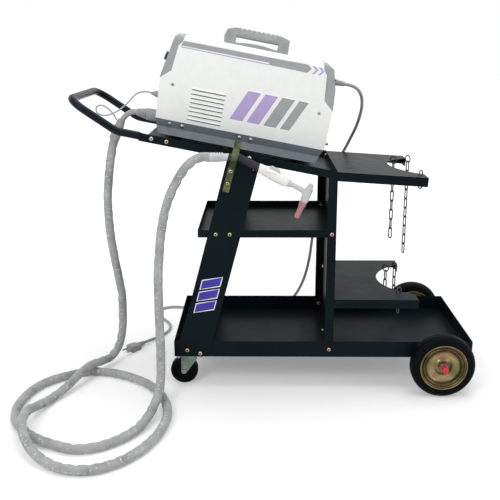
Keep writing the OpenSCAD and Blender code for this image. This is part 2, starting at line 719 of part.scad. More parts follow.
// One bent sheet: floor, front plate and rear plate
plate_a = 9;
base_half = case_w / 2 - skin - 0.1;
base_top = bezel_foot + plate_a * bezel_rise / bezel_run;
socket_n = 46;
socket_y = -40;
return_y = 42;
trigger_n = 96;
gas_y = 4;
fan_n = 75;
fan_y = 22;
inlet_y = -52;
inlet_n = 60;
gland_n = 200;
gland_y = 32;
switch_y = -42;
switch_w = 22;
module front_cuts() {
    for (y = [socket_y, return_y]) translate([plate_a, y, socket_n]) rotate([0, 90, 0])
        cylinder(r = 14 + hole_gap, h = 20, center = true);
    for (cut = [[socket_y, 8], [gas_y, 5]]) translate([plate_a, cut[0], trigger_n]) rotate([0, 90, 0])
        cylinder(r = cut[1] + hole_gap, h = 20, center = true);
}
module case_base() color(case_grey) on_welder() difference() {
    intersection() {
        union() {
            translate([plate_a, -base_half, foot_h]) cube([case_l - 2 * plate_a, 2 * base_half, skin]);
            for (a = [plate_a, case_l - plate_a - skin]) translate([a, -base_half, foot_h])
                cube([skin, 2 * base_half, base_top - foot_h]);
        }
        across_y(outline, case_w);
    }
    front_cuts();
    translate([case_l - plate_a, fan_y, fan_n]) rotate([0, 90, 0]) cylinder(d = fan_d, h = 20, center = true);
    translate([case_l - plate_a, inlet_y, inlet_n]) rotate([0, 90, 0])
        cylinder(r = 5 + hole_gap, h = 20, center = true);
    feet_sites() cylinder(r = 2.5, h = 30);
}
foot_recess = 6;
module feet_sites() for (x = [50, case_l - 50], y = [-60, 60]) translate([x, y, 0]) children();
module case_feet() color(rubber) on_welder() feet_sites() difference() {
    cylinder(r1 = 9, r2 = 11, h = foot_h);
    translate([0, 0, -e]) cylinder(r = 5, h = foot_recess + e);
    cylinder(r = 2.5, h = foot_h + e);
}
module case_screws() color(zinc) on_welder() {
    both_sides() for (p = case_screw_sites) translate([p.x, -case_w / 2, p.y]) rotate([90, 0, 0]) {
        cylinder(r1 = screw_r, r2 = screw_r * 0.7, h = 2);
        translate([0, 0, -7]) cylinder(r = 1.8, h = 7.5);
    }
    feet_sites() {
        translate([0, 0, foot_recess - 3]) cylinder(r = 4.5, h = 3);
        translate([0, 0, foot_recess - 1]) cylinder(r = 2.3, h = foot_h);
    }
}

// Moulded ends: each closes the case above its plate
module bezel(patch, face) difference() {
    intersection() {
        across_y(outline, case_w);
        across_y(patch, case_w);
        case_run(0);
    }
    intersection() {
        case_run(bezel_t, 0, case_l);
        translate([face * bezel_t, 0, 0]) across_y(outline, case_w);
        translate([face > 0 ? 0 : case_l, 0, bezel_foot + bezel_floor]) mirror([face > 0 ? 0 : 1, 0, 0])
            across_y([
                [-e, -bezel_rise * e / bezel_run], [bezel_run, bezel_rise],
                [60, bezel_rise], [60, case_h], [-e, case_h]
            ], case_w);
    }
}
// Frame on the bezel's sloping front face: +Z up the face, -X outwards
front_tilt = atan(19.5 / (case_top - 7 - case_mid));
module on_front() translate([0, 0, case_mid]) rotate([0, front_tilt, 0]) children();
panel_w = case_w - 36;
panel_h = 78;
knob_y = 34;
knob_n = 36;
button_n = 22;
window = [52, 24];                        // display window's width and height
window_y = -25;
window_n = 44;
module front_bezel() color(case_grey) on_welder() difference() {
    bezel(front_patch, 1);
    on_front() translate([-e, -panel_w / 2 + 4, 10]) cube([20, panel_w - 8, panel_h - 8]);
}
module rear_bezel() color(case_grey) on_welder() difference() {
    bezel(rear_patch, -1);
    translate([case_l - 20, gland_y, gland_n]) rotate([0, 90, 0])
        cylinder(r = 9 + hole_gap, h = 60, center = true);
    translate([case_l - 20, switch_y - switch_w / 2, gland_n - 13]) cube([60, switch_w, 26]);
}
panel_t = 2;
button_out = 3;                           // the button stands this far out of the panel
module control_panel() color([0.16, 0.16, 0.18]) on_welder() on_front() difference() {
    translate([-panel_t, -panel_w / 2, 6]) cube([panel_t, panel_w, panel_h]);
    for (cut = [[knob_y, knob_n, 3], [window_y, button_n - 4, 5]]) translate([-panel_t, cut[0], 6 + cut[1]])
        rotate([0, 90, 0]) cylinder(r = cut[2] + hole_gap, h = 20, center = true);
    translate([-panel_t - e, window_y - window.x / 2, 6 + window_n])
        cube([panel_t + 2 * e, window.x, window.y]);
}
module display_window() color([0.35, 0.05, 0.05]) on_welder() on_front() {
    translate([-panel_t - 0.6, window_y - window.x / 2 + 0.05, 6 + window_n + 0.05])
        cube([panel_t + 0.6, window.x - 0.1, window.y - 0.1]);
    translate([0, window_y - window.x / 2 - 3, 6 + window_n - 3]) cube([3, window.x + 6, window.y + 6]);
}
module current_knob() color(rubber) on_welder() on_front()
    translate([-panel_t - face_gap, knob_y, 6 + knob_n]) rotate([0, -90, 0]) difference() {
        union() {
            cylinder(r1 = knob_d / 2, r2 = knob_d / 2 - 1.5, h = 14);
            translate([0, 0, -12]) cylinder(r = 3 + hole_gap - turn_gap, h = 13);
        }
        for (a = [0:30:330]) rotate([0, 0, a]) translate([knob_d / 2 + 0.6, 0, 3]) cylinder(r = 1.6, h = 12);
        translate([-0.8, knob_d / 2 - 7, 13.2]) cube([1.6, 6, 2]);
    }
module mode_button() color([0.70, 0.12, 0.12]) on_welder() on_front()
    translate([-panel_t - button_out, window_y, 6 + button_n - 4]) rotate([0, 90, 0]) {
        cylinder(r = 5, h = button_out + panel_t + face_gap + 1);
        translate([0, 0, button_out + panel_t + face_gap]) cylinder(r = 7, h = 1.5);
    }

// Front sockets stand through the front plate; the lead's plug is seated in the left one
module socket() rotate([0, -90, 0]) difference() {
    union() {
        cylinder(r = 20, h = 4);
        translate([0, 0, -22]) cylinder(r = 14, h = 23);
    }
    translate([0, 0, -16]) cylinder(r = 8.5, h = 30);
}
module front_sockets() color([0.20, 0.20, 0.22]) on_welder() {
    for (y = [socket_y, return_y]) translate([plate_a, y, socket_n]) socket();
    translate([plate_a, socket_y, trigger_n]) rotate([0, -90, 0]) difference() {
        union() {
            cylinder(r = 10, h = 3);
            translate([0, 0, -12]) cylinder(r = 8, h = 13);
        }
        translate([0, 0, -8]) cylinder(r = 6, h = 20);
    }
}
module nipple() rotate([0, -90, 0]) difference() {
    union() {
        cylinder(r = 8, h = 5, $fn = 6);
        cylinder(r1 = 5, r2 = 4, h = 18);
        translate([0, 0, -10]) cylinder(r = 5, h = 11);
        translate([0, 0, -skin - 4]) cylinder(r = 8, h = 4, $fn = 6);
    }
    translate([0, 0, -12]) cylinder(r = 2, h = 40);
}
module gas_fittings() color([0.72, 0.58, 0.30]) on_welder() {
    translate([plate_a, gas_y, trigger_n]) nipple();
    translate([case_l - plate_a, -52, 60]) rotate([0, 0, 180]) nipple();
}

// Carry handle: two posts and a rounded grip
grip_x = 128;
grip_w = 28;
grip_t = 22;
post_l = 26;
module carry_handle() color(case_grey) on_welder() translate([grip_x, 0, case_top]) {
    rotate([90, 0, 0]) translate([0, 0, -grip_w / 2]) linear_extrude(height = grip_w) {
        polygon([
            [0, 0], [post_l, 0], [post_l, grip_h - 0.5], [post_l - 6, grip_h - 0.5],
            [3, grip_h - 6.5], [-2, grip_h * 0.4]
        ]);
        polygon([
            [grip_l, 0], [grip_l - 1.4, grip_h - 8], [grip_l - 3, grip_h - 5.5],
            [grip_l - post_l + 4, grip_h - 0.5], [grip_l - post_l, grip_h - 0.5], [grip_l - post_l, 0]
        ]);
    }
    translate([post_l - 4, 0, grip_h - grip_t / 2]) rotate([90, 0, 90])
        linear_extrude(height = grip_l - 2 * post_l + 8) union() {
            square([grip_w - grip_t, grip_t], center = true);
            for (s = [-1, 1]) translate([s * (grip_w - grip_t) / 2, 0]) circle(d = grip_t);
        }
    // Arched strip along the cover between the posts
    rotate([90, 0, 0]) translate([0, 0, -grip_w / 2 + 2]) linear_extrude(height = grip_w - 4) polygon([
        [post_l - 2, 0], [post_l - 2, 3.5], [grip_l * 0.38, 7.6], [grip_l * 0.5, 8.4], [grip_l * 0.62, 7.6],
        [grip_l - post_l + 2, 3.5], [grip_l - post_l + 2, 0]
    ]);
}

// Power switch: a rocker in the rear bezel's window
module power_switch() color([0.10, 0.10, 0.11]) on_welder() translate([case_l - 16, switch_y, gland_n])
    rotate([90, 0, 0]) linear_extrude(height = switch_w - 2 * face_gap, center = true) polygon([
        [-6, -7], [5, -9], [10.5, -9], [8, 0], [12, 9], [5, 9], [-6, 7]
    ]);

// Fan: frame on the rear plate, rotor with seven blades, guard outside
fan_depth = 20;
fan_a = case_l - plate_a - skin;
module at_fan() translate([fan_a, fan_y, fan_n]) rotate([0, -90, 0]) children();
module fan_frame() color([0.12, 0.12, 0.13]) on_welder() at_fan() difference() {
    translate([-fan_d / 2 - 3, -fan_d / 2 - 3, 0]) cube([fan_d + 6, fan_d + 6, fan_depth]);
    difference() {
        translate([0, 0, -e]) cylinder(d = fan_d, h = fan_depth + 2 * e);
        translate([0, 0, fan_depth - 3]) {
            cylinder(r = 17, h = 3);
            for (a = [0, 90]) rotate([0, 0, a]) translate([-fan_d / 2, -3, 0]) cube([fan_d, 6, 3]);
        }
    }
    translate([0, 0, fan_depth - 5]) cylinder(r = 2 + turn_gap, h = 8);
}
module fan_rotor() color([0.16, 0.16, 0.18]) on_welder() at_fan() {
    difference() {
        translate([0, 0, 3]) cylinder(r = 16, h = fan_depth - 6 - face_gap);
        translate([0, 0, fan_depth - 9]) cylinder(r = 12, h = 8);
    }
    translate([0, 0, 8]) cylinder(r = 2, h = fan_depth - 8);
    for (i = [0:6]) rotate([0, 0, i * 360 / 7]) translate([fan_d / 4 + 4.5, 0, 9.5]) rotate([35, 0, 0])
        cube([fan_d / 2 - 12.5, 15, 1.5], center = true);
}
module fan_guard() color(zinc) on_welder() translate([case_l - plate_a, fan_y, fan_n]) rotate([0, 90, 0]) {
    for (r = [10, 22, 34, fan_d / 2 + 1]) rotate_extrude($fn = 64)
        translate([r, 1.2]) circle(r = 1.2, $fn = 16);
    for (a = [0, 90]) rotate([0, 0, a]) translate([-fan_d / 2 - 1, -1.2, 0.2]) cube([fan_d + 2, 2.4, 2]);
}

// Power board on the heat sink's fins, heat sink on the base
sink_x = 110;
sink_l = 170;
sink_h = 62;
module heat_sink() color([0.70, 0.71, 0.73]) on_welder() translate([sink_x, -50, foot_h + skin]) {
    cube([sink_l, 100, 8]);
    for (i = [0:9]) translate([0, i * 10.5, 0]) cube([sink_l, 3, sink_h]);
}
module power_board() color([0.10, 0.30, 0.16]) on_welder()
    translate([sink_x - 15, -58, foot_h + skin + sink_h]) {
        cube([sink_l + 30, 116, 2]);
        for (x = [25, 65, 105], y = [25, 62]) translate([x, y, 1]) cylinder(r = 14, h = 40);
        translate([sink_l - 25, 30, 1]) cube([40, 56, 34]);
    }

// Gland of the power cord, on the rear bezel
gland_l = 30;
module at_gland() translate([case_l - 14, gland_y, gland_n]) rotate([0, 90, 0]) children();
module cord_gland() color(rubber) on_welder() at_gland() difference() {
    union() {
        translate([0, 0, -8]) cylinder(r = 9, h = 22);
        translate([0, 0, 10.5]) cylinder(r = 11, h = 4);
        translate([0, 0, 14]) cylinder(r1 = 8, r2 = power_d / 2 + 1.5, h = gland_l - 3);
    }
    translate([0, 0, -9]) cylinder(r = power_d / 2 + 0.02, h = 30);
    translate([0, 0, 10]) cylinder(r = power_d / 2 + 2 * hole_gap, h = gland_l + 10);
}

// ---- Torch, hung by its cable end between the near hook and the leg ----

torch_y = -(inner_half + leg_t + stem_off);
stem_x = 126;
stem_l = 33;
relief_l = 32;
torch_tilt = 27.2;
head_tilt = -4.6;
torch_yaw = -4;
handle_l = 123;
module at_torch() translate([stem_x + stem_l, torch_y, stem_z]) rotate([0, torch_tilt, torch_yaw]) children();
module torch_handle() color([0.13, 0.13, 0.14]) {
    translate([stem_x, torch_y, stem_z]) rotate([0, 90, 0]) cylinder(r = stem_r, h = stem_l);
    translate([stem_x + stem_l, torch_y, stem_z]) sphere(r = stem_r + 0.25, $fn = 32);
    translate([stem_x, torch_y, stem_z]) rotate([0, -90, 0]) {
        cylinder(r1 = stem_r, r2 = lead_d / 2 + 0.2, h = relief_l);
        for (i = [0:4]) translate([0, 0, 3 + i * 5.6]) cylinder(r = lead_d / 2 + 0.6, h = 2.8);
    }
    at_torch() difference() {
        rotate([0, 90, 0]) rotate_extrude() polygon([
            [0, 0], [stem_r, 0], [9.1, 40], [11, 58], [12.6, 84], [12.6, 104], [11.5, 116],
            [9, handle_l], [0, handle_l]
        ]);
        for (s = [-1, 1], i = [0:2]) translate([56 + i * 14, s * 12, -2 + 3 * i]) rotate([0, -18, 0])
            cube([16, 4, 2], center = true);
        translate([trigger_at, 0, trigger_floor + 10]) cube([26.6, 11.6, 20], center = true);
    }
}
trigger_at = 84;
trigger_floor = 6.5;
trigger_travel = 2;
module torch_trigger() color([0.45, 0.45, 0.46]) at_torch()
    translate([trigger_at, 0, trigger_floor + trigger_travel + face_gap]) {
        translate([-13, -5.5, 0]) cube([26, 11, 7]);
        translate([-10, -5.5, 6.9]) cube([20, 11, 1.8]);
    }
head_at = [172.8, 0, -3.1];
neck_path = [
    [118, 0, 0], [128, 0, 0.5], [138, 0, 0.9], [148, 0, 1], [158, 0, 0.3], [167, 0, -1.4], [172.8, 0, -3.1]
];
module at_head() at_torch() translate(head_at) rotate([0, head_tilt, 0]) children();
module torch_head() color([0.28, 0.28, 0.29]) {
    at_torch() difference() {
        union() {
            tube(neck_path, [6.2, 6.2, 6, 6, 6, 6, 5], 16);
            translate([handle_l, 0, 0]) rotate([0, 90, 0]) cylinder(r1 = 9, r2 = 6.4, h = 9);
        }
        translate([0, -30, -30]) cube([handle_l, 60, 60]);
    }
    at_head() {
        translate([0, 0, -15]) cylinder(r = 9.5, h = 27);
        translate([0, 0, -18]) cylinder(r = 8.4, h = 4);
    }
}
module ceramic_cup() color([0.80, 0.46, 0.42]) at_head() translate([0, 0, -18 - cup_l]) difference() {
    rotate_extrude() polygon([
        [0, 0], [cup_d / 2 - 1.4, 0], [cup_d / 2 - 1, cup_l * 0.6], [cup_d / 2 + 0.8, cup_l * 0.75],
        [cup_d / 2 + 0.8, cup_l], [0, cup_l]
    ]);
    translate([0, 0, -e]) cylinder(r = cup_d / 2 - 3, h = cup_l - 3);
}
module torch_cap() color(rubber) at_head() translate([0, 0, 12]) rotate_extrude()
    polygon([[0, 0], [8.4, 0], [8.4, 3], [6.6, 5], [6.2, 11], [5, 13.5], [0, 14]]);

// ---- Lead plug in the welder's left socket, and the boot where the trigger wire leaves the lead ----

plug_out = 30;
plug_relief = 25;
boot_centre = [-134, -40, 612];
boot_lean = [0, 24, 0];
trigger_plug_l = 22;
module lead_plug() {
    color(rubber) on_welder() translate([plate_a, socket_y, socket_n]) rotate([0, -90, 0]) {
        translate([0, 0, -12]) cylinder(r = 8.4, h = 17);
        translate([0, 0, 4]) cylinder(r = 14, h = plug_out - 4);
        for (i = [0:3]) translate([0, 0, plug_out + 2 + i * 5.5]) cylinder(r = 12.5 - i * 1.1, h = 3);
        translate([0, 0, plug_out - 1]) cylinder(r1 = 11, r2 = tail_d / 2 + 1, h = plug_relief + 1);
    }
    color(rubber) on_welder() translate([plate_a - 1, socket_y, trigger_n]) rotate([0, -90, 0]) {
        translate([0, 0, -4]) cylinder(r = 5.9, h = 6);
        translate([0, 0, 2]) cylinder(r = 8, h = 12);
        translate([0, 0, 14]) cylinder(r1 = 7, r2 = 3, h = trigger_plug_l - 9);
    }
    color(rubber) translate(boot_centre) rotate(boot_lean) rotate_extrude() polygon([
        [0, -26], [lead_d / 2 + 1.6, -26], [lead_d / 2 + 1.6, 0], [10, 16], [8.5, 26], [0, 26]
    ]);
}

// ---- Cords: points along their middle lines, in the cart frame ----

// Points between the route's own ones, on a smooth curve through them
function spline(a, b, c, d, t) = 0.5 * ((2 * b) + (c - a) * t + (2 * a - 5 * b + 4 * c - d) * t * t
    + (3 * b - a - 3 * c + d) * t * t * t);
function smooth(p, k) = concat([for (i = [0:len(p) - 2], j = [0:k - 1])
    spline(p[max(i - 1, 0)], p[i], p[i + 1], p[min(i + 2, len(p) - 1)], j / k)], [p[len(p) - 1]]);

// Least distance between a route's middle line and its own parts further than 'apart' points away
function least(p, apart) = min([
    for (i = [0:len(p) - 1 - apart], j = [i + apart:len(p) - 1]) norm(p[i] - p[j])
]);

// From the torch down to the floor, round two loose loops and up to the welder's plug
lead_route = [
    [94, -178.8, 567], [74, -178.8, 567], [51, -179, 555], [29, -181, 530], [8, -186, 492], [-8, -190, 448],
    [-18, -193, 400], [-24, -195, 350], [-28, -196, 300], [-29, -197, 250], [-29, -199, 200],
    [-28, -203, 150], [-27, -211, 104], [-26, -228, 64], [-26, -260, 40], [-29, -302, 32],
    [-38, -346, 22], [-56, -390, 13], [-84, -430, 11], [-124, -464, 11], [-170, -476, 11],
    [-216, -462, 11], [-262, -436, 11], [-302, -400, 11], [-332, -356, 11], [-347, -304, 11],
    [-347, -252, 11], [-336, -200, 11], [-312, -158, 11], [-272, -124, 11], [-226, -102, 11],
    [-178, -104, 11], [-132, -122, 11], [-90, -150, 11], [-54, -186, 11], [-28, -228, 11],
    [-9, -276, 11], [-1, -326, 11], [-4, -378, 11], [-16, -430, 11], [-40, -482, 11],
    [-76, -526, 11], [-122, -552, 11], [-172, -552, 11], [-218, -530, 13], [-256, -496, 20],
    [-284, -454, 30], [-302, -408, 35], [-306, -356, 33], [-299, -304, 20], [-282, -254, 12],
    [-259, -206, 17], [-236, -160, 30], [-216, -114, 35], [-198, -72, 27], [-180, -36, 25],
    [-164, -10, 46], [-155, 0, 86], [-151, -4, 136], [-150, -10, 188], [-155, -18, 240],
    [-161, -25, 292], [-166, -31, 344], [-168, -35, 396], [-167, -38, 446], [-162, -40, 494],
    [-155, -40, 540], [-146, -40, 580], [-134, -40, 612], [-120, -40, 638], [-105, -40, 651],
    [-90, -40, 654.6], [-76, -40, 652.2]
];
boot_point = len(lead_route) - 5;         // index of the route's point inside the splitter boot
echo(lead_least_gap = least(smooth(lead_route, 8), 48) - lead_d);
lead_radii = [for (i = [0:len(lead_route) - 1]) (i < boot_point ? lead_d : tail_d) / 2];
module torch_lead() color([0.30, 0.30, 0.31]) tube(lead_route, lead_radii, 10);

trigger_route = [
    [-134, -50, 636], [-140, -55, 650], [-150, -61, 663], [-164, -67, 672], [-175, -73, 668],
    [-173, -79, 656], [-158, -82, 650], [-140, -80, 653], [-122, -73, 662], [-106, -62, 675],
    [-94, -50, 689], [-80, -43, 699], [-64, -40, 701], [-48, -40, 698]
];
module trigger_wire() color(rubber)
    tube(smooth(trigger_route, 2), fill(2 * len(trigger_route) - 1, wire_thin_d / 2), 8);

// From the welder's rear gland, behind the cart to the floor and round to its plug
power_route = [
    [367.98, 32, 721.97], [383.68, 32, 718.89], [399.38, 32, 715.81], [412.14, 32, 713.31],
    [430, 33, 709], [445, 39, 700], [456, 52, 683], [461, 74, 658],
    [460, 100, 630], [455, 128, 600], [446, 154, 570], [434, 177, 537], [418, 195, 502],
    [399, 206, 465], [382, 213, 426], [369, 217, 384], [361, 221, 340], [356, 225, 296],
    [352, 230, 252], [347, 236, 209], [339, 244, 167], [327, 254, 127], [309, 266, 89],
    [284, 280, 55], [252, 295, 28], [214, 309, 11], [172, 321, 5], [130, 332, 5],
    [88, 344, 5], [46, 359, 5], [6, 377, 5], [-34, 391, 5], [-72, 394, 5],
    [-100, 376, 5], [-110, 346, 5], [-100, 314, 5], [-80, 282, 5], [-62, 248, 5],
    [-56, 212, 5], [-64, 176, 5], [-82, 142, 6], [-102, 113, 8], [-116, 93, 9]
];
module power_cord() color([0.35, 0.35, 0.36])
    tube(smooth(power_route, 2), fill(2 * len(power_route) - 1, power_d / 2), 8);

// Two-pin plug lying on the floor
plug_at = [-116, 93, 9];
plug_turn = -125;
module power_plug() color(rubber) translate(plug_at) rotate([0, 0, plug_turn]) difference() {
    union() {
        rotate([0, 90, 0]) cylinder(r1 = 5.5, r2 = 8, h = 24);
        translate([22, -13, -8.5]) cube([32, 26, 17]);
        for (y = [-9.5, 9.5]) translate([52, y, 0]) rotate([0, 90, 0]) cylinder(r = 2.4, h = 20, $fn = 24);
    }
    translate([22, -13.5, 6]) rotate([0, -8, 0]) cube([40, 27, 10]);
}

placed() bottom_tray();
placed() middle_shelf();
placed() welder_tray();
placed() near_leg();
placed() far_leg();
placed() rear_panel();
placed() upper_gas_shelf();
placed() lower_gas_shelf();
placed() push_handle();
placed() cable_hooks();
placed() frame_bolts();
placed() frame_nuts();
placed() upper_chain();
placed() lower_chain();
placed() axle();
placed() axle_brackets();
placed() axle_washers();
placed() axle_caps();
placed() near_tyre();
placed() near_rim();
placed() far_tyre();
placed() far_rim();
placed() near_caster_plate();
placed() near_caster_fork();
placed() near_caster_wheel();
placed() near_caster_axle();
placed() far_caster_plate();
placed() far_caster_fork();
placed() far_caster_wheel();
placed() far_caster_axle();
placed() case_cover();
placed() case_base();
placed() case_feet();
placed() case_screws();
placed() front_bezel();
placed() rear_bezel();
placed() carry_handle();
placed() control_panel();
placed() display_window();
placed() current_knob();
placed() mode_button();
placed() front_sockets();
placed() gas_fittings();
placed() power_switch();
placed() fan_frame();
placed() fan_rotor();
placed() fan_guard();
placed() power_board();
placed() heat_sink();
placed() cord_gland();
placed() torch_handle();
placed() torch_head();
placed() ceramic_cup();
placed() torch_cap();
placed() torch_trigger();
placed() lead_plug();
placed() torch_lead();
placed() trigger_wire();
placed() power_cord();
placed() power_plug();
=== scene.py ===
import math

import bmesh
import bpy
from mathutils import Matrix, Vector, noise


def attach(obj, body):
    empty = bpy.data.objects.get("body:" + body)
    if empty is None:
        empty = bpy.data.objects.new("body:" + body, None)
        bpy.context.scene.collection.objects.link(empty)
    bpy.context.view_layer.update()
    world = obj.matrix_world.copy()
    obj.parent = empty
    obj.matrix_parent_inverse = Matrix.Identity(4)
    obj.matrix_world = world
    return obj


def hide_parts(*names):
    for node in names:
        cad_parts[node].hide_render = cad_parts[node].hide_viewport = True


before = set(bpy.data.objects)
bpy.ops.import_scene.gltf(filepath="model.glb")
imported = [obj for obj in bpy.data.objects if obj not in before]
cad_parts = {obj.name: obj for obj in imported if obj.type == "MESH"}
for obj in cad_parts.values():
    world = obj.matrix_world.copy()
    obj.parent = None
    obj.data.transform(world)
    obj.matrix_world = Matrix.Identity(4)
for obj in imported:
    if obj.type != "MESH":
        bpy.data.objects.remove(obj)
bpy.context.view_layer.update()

# ---- Studio ----
# A pale floor that runs into a white room, three soft lamps, and a camera that looks
# down a little at the cart's long side.

bpy.context.scene.view_settings.view_transform = "Standard"

eye_place = (-0.0364, -1.8677, 0.8275)
eye_turn, eye_dip, eye_roll = 0.797, 15.70, -0.13
eye = bpy.data.objects.new("Eye", bpy.data.cameras.new("Eye"))
bpy.context.scene.collection.objects.link(eye)
eye.data.sensor_width = 36
eye.data.lens = 54.9
eye.matrix_world = (
    Matrix.Translation(eye_place)
    @ Matrix.Rotation(math.radians(eye_turn), 4, "Z")
    @ Matrix.Rotation(math.radians(90 - eye_dip), 4, "X")
    @ Matrix.Rotation(math.radians(eye_roll), 4, "Z")
)
bpy.context.scene.camera = eye


def lamp(name, size, power, place, aim):
    """Square soft lamp that faces a point."""
    light = bpy.data.objects.new(name, bpy.data.lights.new(name, "AREA"))
    light.data.size = size
    light.data.energy = power
    bpy.context.scene.collection.objects.link(light)
    light.location = place
    light.rotation_euler = (Vector(aim) - Vector(place)).to_track_quat("-Z", "Y").to_euler()


lamp("Front softbox", 1.1, 36, (-1.6, -2.6, 2.3), (0, 0, 0.4))
lamp("Top softbox", 2.2, 40, (0.2, 0.25, 2.9), (0, 0, 0.3))
lamp("Side softbox", 1.6, 14, (2.6, -1.4, 1.2), (0, 0, 0.4))


def looked_at(tree):
    """1 on rays straight from the camera, a mirror or glass, and 0 on all others."""
    path = tree.nodes.new("ShaderNodeLightPath")
    answer = path.outputs["Is Camera Ray"]
    for way in ("Is Glossy Ray", "Is Transmission Ray"):
        either = tree.nodes.new("ShaderNodeMath")
        either.operation = "MAXIMUM"
        tree.links.new(answer, either.inputs[0])
        tree.links.new(path.outputs[way], either.inputs[1])
        answer = either.outputs[0]
    return answer


# The room looks white, and lights what is in it with less than that
room_light, room_white = 0.62, 1.0
room = bpy.data.worlds.new("Room")
bpy.context.scene.world = room
room.use_nodes = True
walls = room.node_tree.nodes["Background"]
walls.inputs["Color"].default_value = (1, 1, 1, 1)
level = room.node_tree.nodes.new("ShaderNodeMix")
level.inputs["A"].default_value = room_light
level.inputs["B"].default_value = room_white
room.node_tree.links.new(looked_at(room.node_tree), level.inputs["Factor"])
room.node_tree.links.new(level.outputs["Result"], walls.inputs["Strength"])

# What is seen of the floor gets whiter with its distance in metres from the cart, until it
# meets the room. The light that it throws back on to the cart is that of a plain grey.
floor_grey = 0.84
floor_lift = 0.25
floor_whitens = {"From Min": 0.7, "From Max": 3.6, "To Min": 0.77, "To Max": 1.34}
floor_reach = 14
bm = bmesh.new()
bmesh.ops.create_grid(bm, x_segments=1, y_segments=1, size=floor_reach)
mesh = bpy.data.meshes.new("Floor")
bm.to_mesh(mesh)
bm.free()
floor = bpy.data.objects.new("Floor", mesh)
bpy.context.scene.collection.objects.link(floor)
floor_paint = bpy.data.materials.new("floor paint")
floor_paint.use_nodes = True
wiring = floor_paint.node_tree
matt = wiring.nodes["Principled BSDF"]
matt.inputs["Base Color"].default_value = (floor_grey, floor_grey, floor_grey, 1)
matt.inputs["Roughness"].default_value = 0.9
white = wiring.nodes.new("ShaderNodeBsdfDiffuse")
where = wiring.nodes.new("ShaderNodeTexCoord")
reach = wiring.nodes.new("ShaderNodeVectorMath")
reach.operation = "LENGTH"
paler = wiring.nodes.new("ShaderNodeMapRange")
for socket, value in floor_whitens.items():
    paler.inputs[socket].default_value = value
wiring.links.new(where.outputs["Object"], reach.inputs[0])
wiring.links.new(reach.outputs["Value"], paler.inputs["Value"])
wiring.links.new(paler.outputs["Result"], white.inputs["Color"])
lift = wiring.nodes.new("ShaderNodeEmission")
lift.inputs["Strength"].default_value = floor_lift
lifted = wiring.nodes.new("ShaderNodeAddShader")
wiring.links.new(white.outputs[0], lifted.inputs[0])
wiring.links.new(lift.outputs[0], lifted.inputs[1])
choice = wiring.nodes.new("ShaderNodeMixShader")
wiring.links.new(looked_at(wiring), choice.inputs["Fac"])
wiring.links.new(matt.outputs[0], choice.inputs[1])
wiring.links.new(lifted.outputs[0], choice.inputs[2])
wiring.links.new(choice.outputs[0], wiring.nodes["Material Output"].inputs["Surface"])
floor.data.materials.append(floor_paint)

# ---- Torch lead ----
# The torch's hose and wires inside a zipped suede sleeve, which is slack and puckers on
# the inside of its bends. Past the splitter boot the bare rubber lead goes on to its plug.

# How far the cart's drawing starts before the frame's origin, at the tray's caster end
drawing_x = 0.243


def metres(*points):
    """Points of the cart's drawing, in millimetres, as the frame's points in metres."""
    return [Vector((x / 1000 - drawing_x, y / 1000, z / 1000)) for x, y, z in points]


def smooth_route(points, steps):
    """A smooth curve through the points, with more points between them."""
    last = len(points) - 1
    made = []
    for i in range(last):
        a, b, c, d = (points[max(0, min(last, i + k))] for k in (-1, 0, 1, 2))
        for j in range(steps):
            t = j / steps
            second, third = 2 * a - 5 * b + 4 * c - d, 3 * b - a - 3 * c + d
            made.append(0.5 * (2 * b + (c - a) * t + second * t * t + third * t**3))
    return made + [points[last]]


def run_of(path):
    """How far along its route each point lies."""
    far = [0.0]
    for a, b in zip(path, path[1:]):
        far.append(far[-1] + (b - a).length)
    return far


def hose(path, radius, sides, swell=None):
    """Closed tube along a route, with a UV map in metres. swell changes the radius: it is told
    how far along it is, the way out, the bend (towards its inside, 1 at a 0.1 m radius), the
    angle and the whole length."""
    bm = bmesh.new()
    uv = bm.loops.layers.uv.new("Hose")
    far = run_of(path)
    side = None
    rings = []
    for i, p in enumerate(path):
        before, after = path[max(i - 1, 0)], path[min(i + 1, len(path) - 1)]
        ahead = (after - before).normalized()
        bend = (after + before - 2 * p) / max((after - before).length_squared / 4, 1e-9) * 0.1
        side = side or ahead.cross(Vector((0, 0.3, 1)))  # any way that no route starts along
        side = (side - ahead * side.dot(ahead)).normalized()
        up = ahead.cross(side)
        ring = []
        for k in range(sides):
            a = math.tau * k / sides
            out = side * math.cos(a) + up * math.sin(a)
            more = swell(far[i], out, bend, a, far[-1]) if swell else 0
            ring.append(bm.verts.new(p + out * (radius + more)))
        rings.append(ring)
    round_it = math.tau * radius
    for i in range(len(rings) - 1):
        for k in range(sides):
            n = (k + 1) % sides
            wall = bm.faces.new((rings[i][k], rings[i][n], rings[i + 1][n], rings[i + 1][k]))
            corners = ((k, i), (k + 1, i), (k + 1, i + 1), (k, i + 1))
            for loop, (u, v) in zip(wall.loops, corners):
                loop[uv].uv = (round_it * u / sides, far[v])
    bm.faces.new(rings[0])
    bm.faces.new(rings[-1])
    bmesh.ops.recalc_face_normals(bm, faces=bm.faces)
    return bm


